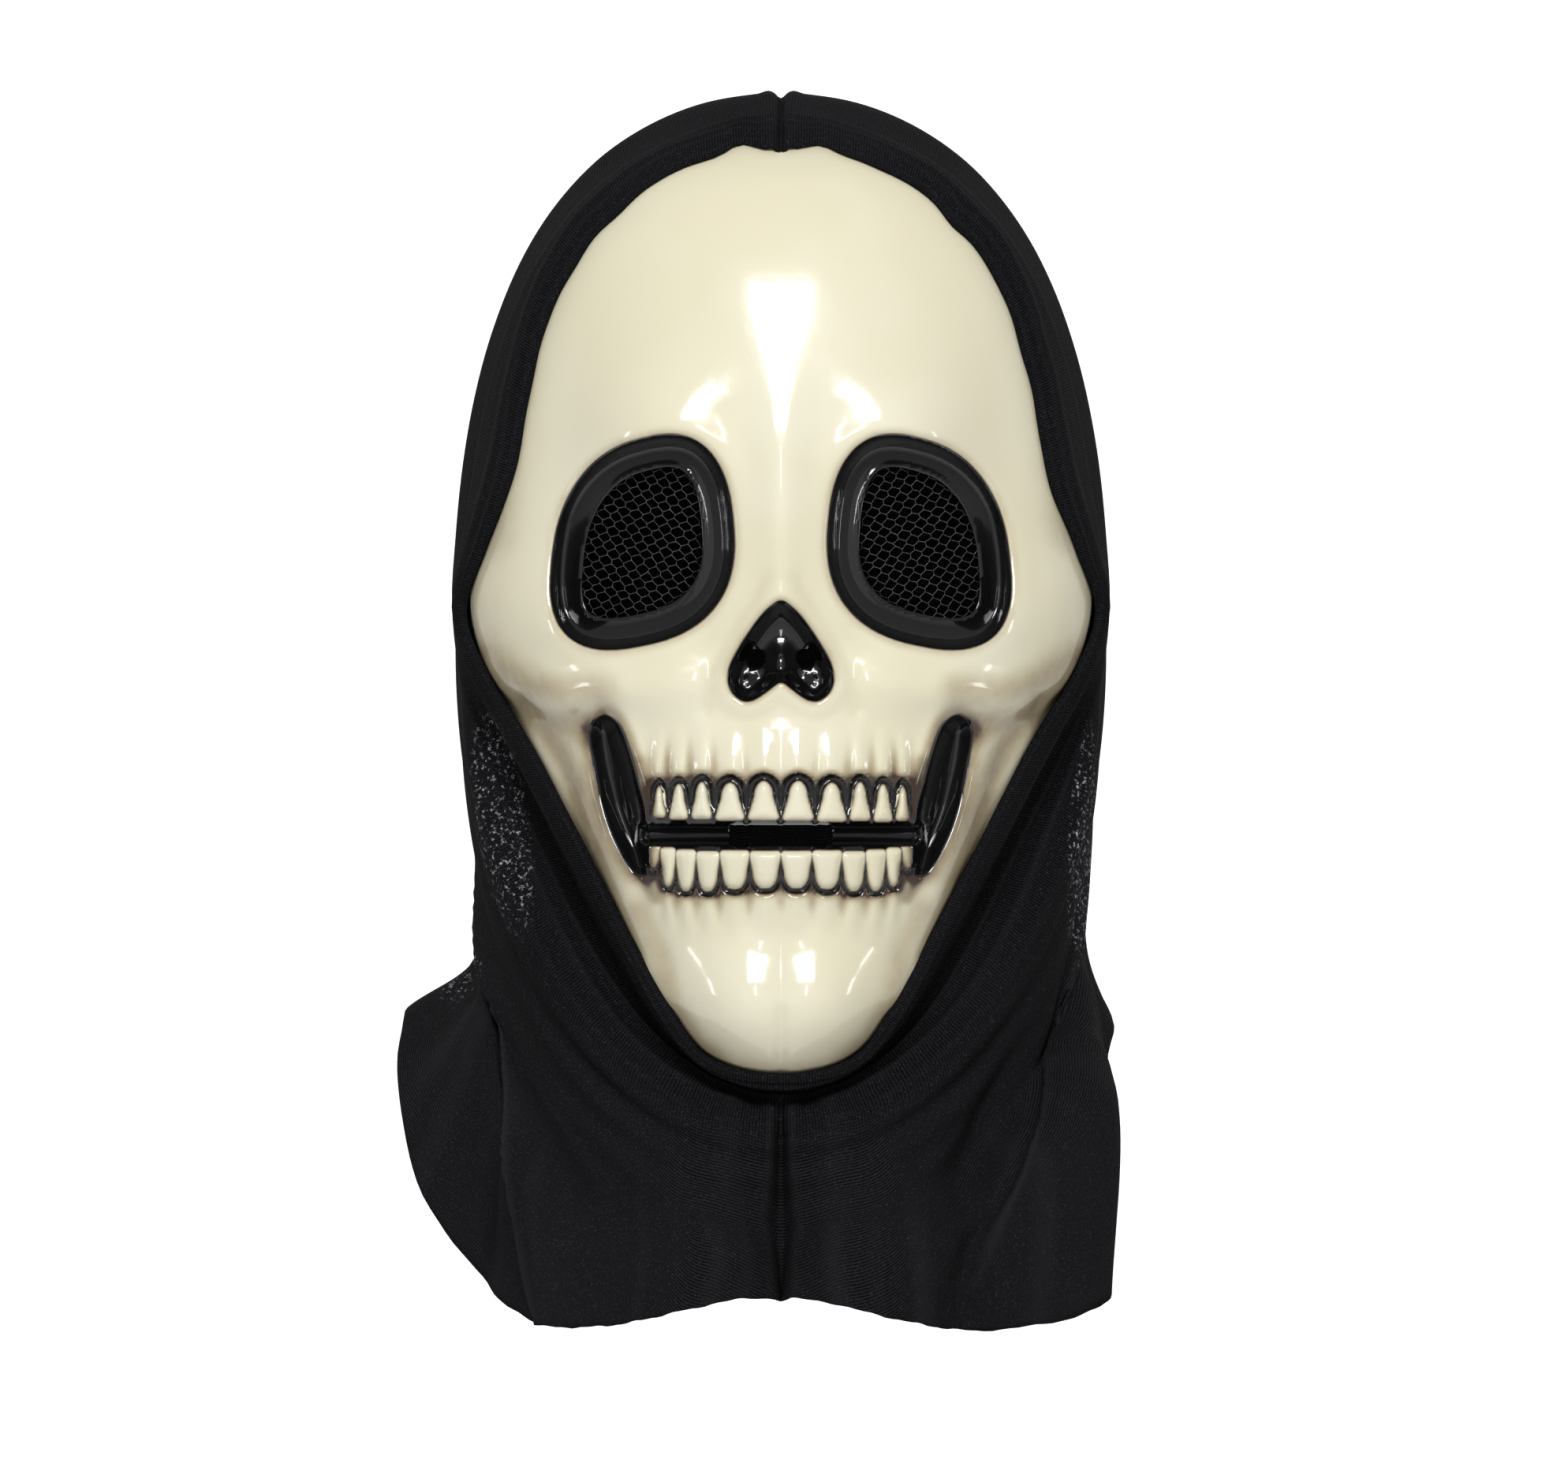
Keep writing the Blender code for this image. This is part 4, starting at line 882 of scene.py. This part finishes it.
def bandRipple(angle, at):
    # the turned hem lies down on the face at its edge, with three long ridges beside it
    end = hood["bandEnd"]
    turn = np.radians(np.abs(angle))
    rolled = -0.0013 * math.exp(-(at / 0.008) ** 2) * np.ones_like(angle)
    waves = np.zeros_like(angle)
    for share, height, phase in hood["bandRidges"]:
        place = end * (share + 0.05 * np.sin(turn * 3 + phase) + 0.03 * np.sin(turn * 7 + phase * 2))
        strong = 0.60 + 0.40 * np.sin(turn * 5 + phase * 3)
        waves += height * strong * np.exp(-np.abs((at - place) / (end * 0.075)) ** 1.4)
        waves -= height * 0.45 * np.exp(-((at - place - end * 0.13) / (end * 0.08)) ** 2)
    plain = 0.0010 * (1 - math.cos(at / end * 2 * math.pi)) / 2 * (1 - float(easeStep(at, 0.5, 0.9)))
    fade = 1 - float(easeStep(at, 0.20, 0.60))
    depth, width = hood["crownSeam"]
    seam = -depth * np.exp(-(angle / width) ** 2) * fade
    peaks = 0.0008 * np.exp(-((np.abs(angle) - 1.6) / 1.0) ** 2) * fade
    return rolled + waves + plain + seam + peaks


def layerSteps(angle, at):
    # where one layer of the drape lies in front of the next, with a sharp edge between
    total = np.zeros_like(angle)
    for side, way, height, places in hood["steps"]:
        keys, edges = [p[0] for p in places], [p[1] for p in places]
        grown = float(easeStep(at, keys[0], keys[0] + 0.12))
        grown *= 1 - float(easeStep(at, keys[-1] - 0.02, keys[-1] + 0.10))
        beyond = (angle * side - float(curveThrough(keys, edges, at))) * way
        total += height * grown * easeStep(beyond, -0.9, 0.9) * (1 - easeStep(beyond, 4, 34))
        total -= height * 0.35 * grown * np.exp(-((beyond + 3.0) / 2.6) ** 2)
    return total


def smallFolds(angle, at):
    # rolls that follow the jaw behind the hem, and the gather under the chin
    turn = np.abs(angle)
    jaw = easeStep(turn, 98, 112) * (1 - 0.5 * easeStep(turn, 150, 176))
    total = np.zeros_like(angle)
    for place, width, rise in hood["jawRolls"]:
        wander = place + 0.006 * np.sin(np.radians(angle) * 5 + place * 40)
        total += rise * jaw * np.exp(-((at - wander) / width) ** 2)
    gather = float(easeStep(at, 0.13, 0.20)) * (1 - float(easeStep(at, 0.34, 0.66)))
    fan = np.exp(-((180 - turn) / 13.0) ** 2)
    total += 0.0008 * gather * fan * np.cos(np.radians(180 - turn) * 36)
    cut = float(easeStep(at, 0.16, 0.26))
    depth, width = hood["chinCrease"]
    total -= depth * cut * np.exp(-((180 - turn) / width) ** 2)
    waves = float(easeStep(at, 0.55, 0.95))
    total += 0.0011 * waves * np.sin(np.radians(angle) * 23 + 1.3)
    total += 0.0003 * waves * np.sin(np.radians(angle) * 57)
    return total


def sheerness(co):
    # where a single layer hangs free beside the neck, with painted light sparkling through it
    total = np.zeros(len(co))
    for x, z, wide, tall, lean in hood["sheer"]:
        lean = math.radians(lean)
        dx, dz = co[:, 0] * 1000 - x, co[:, 2] * 1000 - z
        across = dx * math.cos(lean) + dz * math.sin(lean)
        along = dz * math.cos(lean) - dx * math.sin(lean)
        total = np.maximum(total, 1 - (across / wide) ** 2 - (along / tall) ** 2)
    middle, reach = hood["sheerDepth"]
    total = total - np.maximum(0, (co[:, 1] - middle) / reach) ** 2
    return np.clip(total, 0, 1)


def buildHood(material):
    surface, angle, places, crestHighlight = hoodSurface()
    columns, rows = len(angle) - 1, len(places) - 1
    bm = bmesh.new()
    bmesh.ops.create_grid(bm, x_segments=columns, y_segments=rows, size=1.0)
    i, j = gridPlaces(bm, columns, rows)
    around = np.cumsum(np.r_[0, np.linalg.norm(np.diff(surface[24], axis=0), axis=1)])
    down = np.concatenate([np.zeros((1, columns + 1)),
                           np.cumsum(np.linalg.norm(np.diff(surface, axis=0), axis=2), axis=0)])
    cloth = bm.loops.layers.uv.new("cloth")
    bm.verts.index_update()
    for f in bm.faces:
        for loop in f.loops:
            n = loop.vert.index
            loop[cloth].uv = (around[i[n]], down[j[n], i[n]])
    # the second layer carries the painted highlight on fold crests
    along, rub = bm.verts.layers.float.new("along"), bm.verts.layers.float.new("rub")
    for n, v in enumerate(bm.verts):
        v.co = surface[j[n], i[n]]
        v[along], v[rub] = places[j[n]], crestHighlight[j[n], i[n]]
    bmesh.ops.remove_doubles(bm, verts=bm.verts, dist=1e-6)
    obj = newPiece("knitted_hood", bm, material)
    mesh = obj.data
    co = np.zeros(len(mesh.vertices) * 3)
    mesh.vertices.foreach_get("co", co)
    meshLayer(mesh, "sheer", sheerness(co.reshape(-1, 3)))
    wall = obj.modifiers.new("cloth", "SOLIDIFY")
    wall.thickness = hood["cloth"]
    wall.offset = -1
    return obj


def knitMaterial():
    g = Graph("black_knit")
    cloth, place = g.onCloth(), g.place()
    split = g.node("ShaderNodeSeparateXYZ", None, {"Vector": cloth})
    u, v = Value(g, split.outputs["X"]), Value(g, split.outputs["Y"])
    wander = g.noise(place, 60.0, 2.0) - 0.5
    draped = g.layer("along").ramp(0.20, 0.42)
    crosswise = (v * 6700 + wander * 2.2).sine() * 0.5 + 0.5
    lengthwise = (u * 7600 + wander * 2.2).sine() * 0.5 + 0.5
    ribs = crosswise * draped + lengthwise * (1 - draped) * 0.7
    fuzz = g.noise(place, 3200.0, 2.0, 0.7)
    speck = g.noise(place, 1900.0, 2.0, 0.8)
    dull = g.mix(ribs * (0.4 + fuzz), hood["dark"], hood["light"])
    flecked = g.mix(speck.ramp(0.54, 0.74) * 0.6, dull, hood["fleck"])
    # painted light: pale sparkle specks where the sheer cloth is backlit
    glint = g.noise(place, 720.0, 4.0, 0.75).ramp(0.56, 0.66) * g.layer("sheer").ramp(0.02, 0.55)
    cloudy = g.noise(place, 9.0, 3.0)
    # lighter in random cloudy patches, and along fold crests as painted highlight
    fadingAndCrestHighlight = (cloudy.ramp(0.40, 0.85) * 0.35).most(g.layer("rub") * (0.35 + fuzz))
    fadedAndHighlit = g.mix(fadingAndCrestHighlight, flecked, hood["fadedAndHighlit"])
    g.set(Base_Color=g.mix(glint, fadedAndHighlit, (0.42, 0.42, 0.46)), Roughness=0.84 + fuzz * 0.12,
          Specular_IOR_Level=0.02)
    g.set(Normal=g.bump(ribs * 0.6 + fuzz * 0.6, 0.00020, 0.65))
    return g.material


# floor and backdrop


def buildStage():
    g = Graph("pale_floor")
    grain = g.noise(g.place(), 40.0, 3.0)
    g.set(Base_Color=g.mix(grain, (0.84, 0.84, 0.84), (0.90, 0.90, 0.90)), Roughness=0.9)
    bm = bmesh.new()
    bmesh.ops.create_grid(bm, x_segments=1, y_segments=1, size=12.0)
    bmesh.ops.translate(bm, vec=(0, 0, -studio["floorBelow"]), verts=bm.verts)
    newPiece("floor", bm, g.material)
    g = Graph("white_paper")
    grain = g.noise(g.place(), 30.0, 3.0)
    g.set(Base_Color=g.mix(grain, (0.88, 0.88, 0.88), (0.92, 0.92, 0.92)), Roughness=0.9,
          Emission_Color=(1.0, 1.0, 1.0), Emission_Strength=1.0)
    bm = bmesh.new()
    bmesh.ops.create_grid(bm, x_segments=1, y_segments=1, size=4.0)
    for v in bm.verts:
        v.co = (v.co.x, studio["backBehind"], v.co.y)
    newPiece("backdrop", bm, g.material)
    world = bpy.data.worlds.new("white room")
    world.use_nodes = True
    world.node_tree.nodes["Background"].inputs["Color"].default_value = (1, 1, 1, 1)
    world.node_tree.nodes["Background"].inputs["Strength"].default_value = studio["roomLight"]
    bpy.context.scene.world = world
    bpy.context.scene.view_settings.view_transform = "Standard"
    for name, (place, size, power) in studio["lights"].items():
        addLight(name, place, size, power)


buildStage()
print("stage lit")

plastic = plasticMaterial()
mouldedFace = buildFace(plastic)
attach(mouldedFace, "root")
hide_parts("mask_shell")
print("face moulded")

strand = netMaterial()
for label, side in (("left", -1), ("right", 1)):
    eyeNet = buildNet("eye_net_" + label, side, strand)
    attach(eyeNet, "root")
    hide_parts("eye_screen_" + label)
print("nets set")

knit = knitMaterial()
knittedHood = buildHood(knit)
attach(knittedHood, "root")
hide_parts("hood")
print("hood draped")
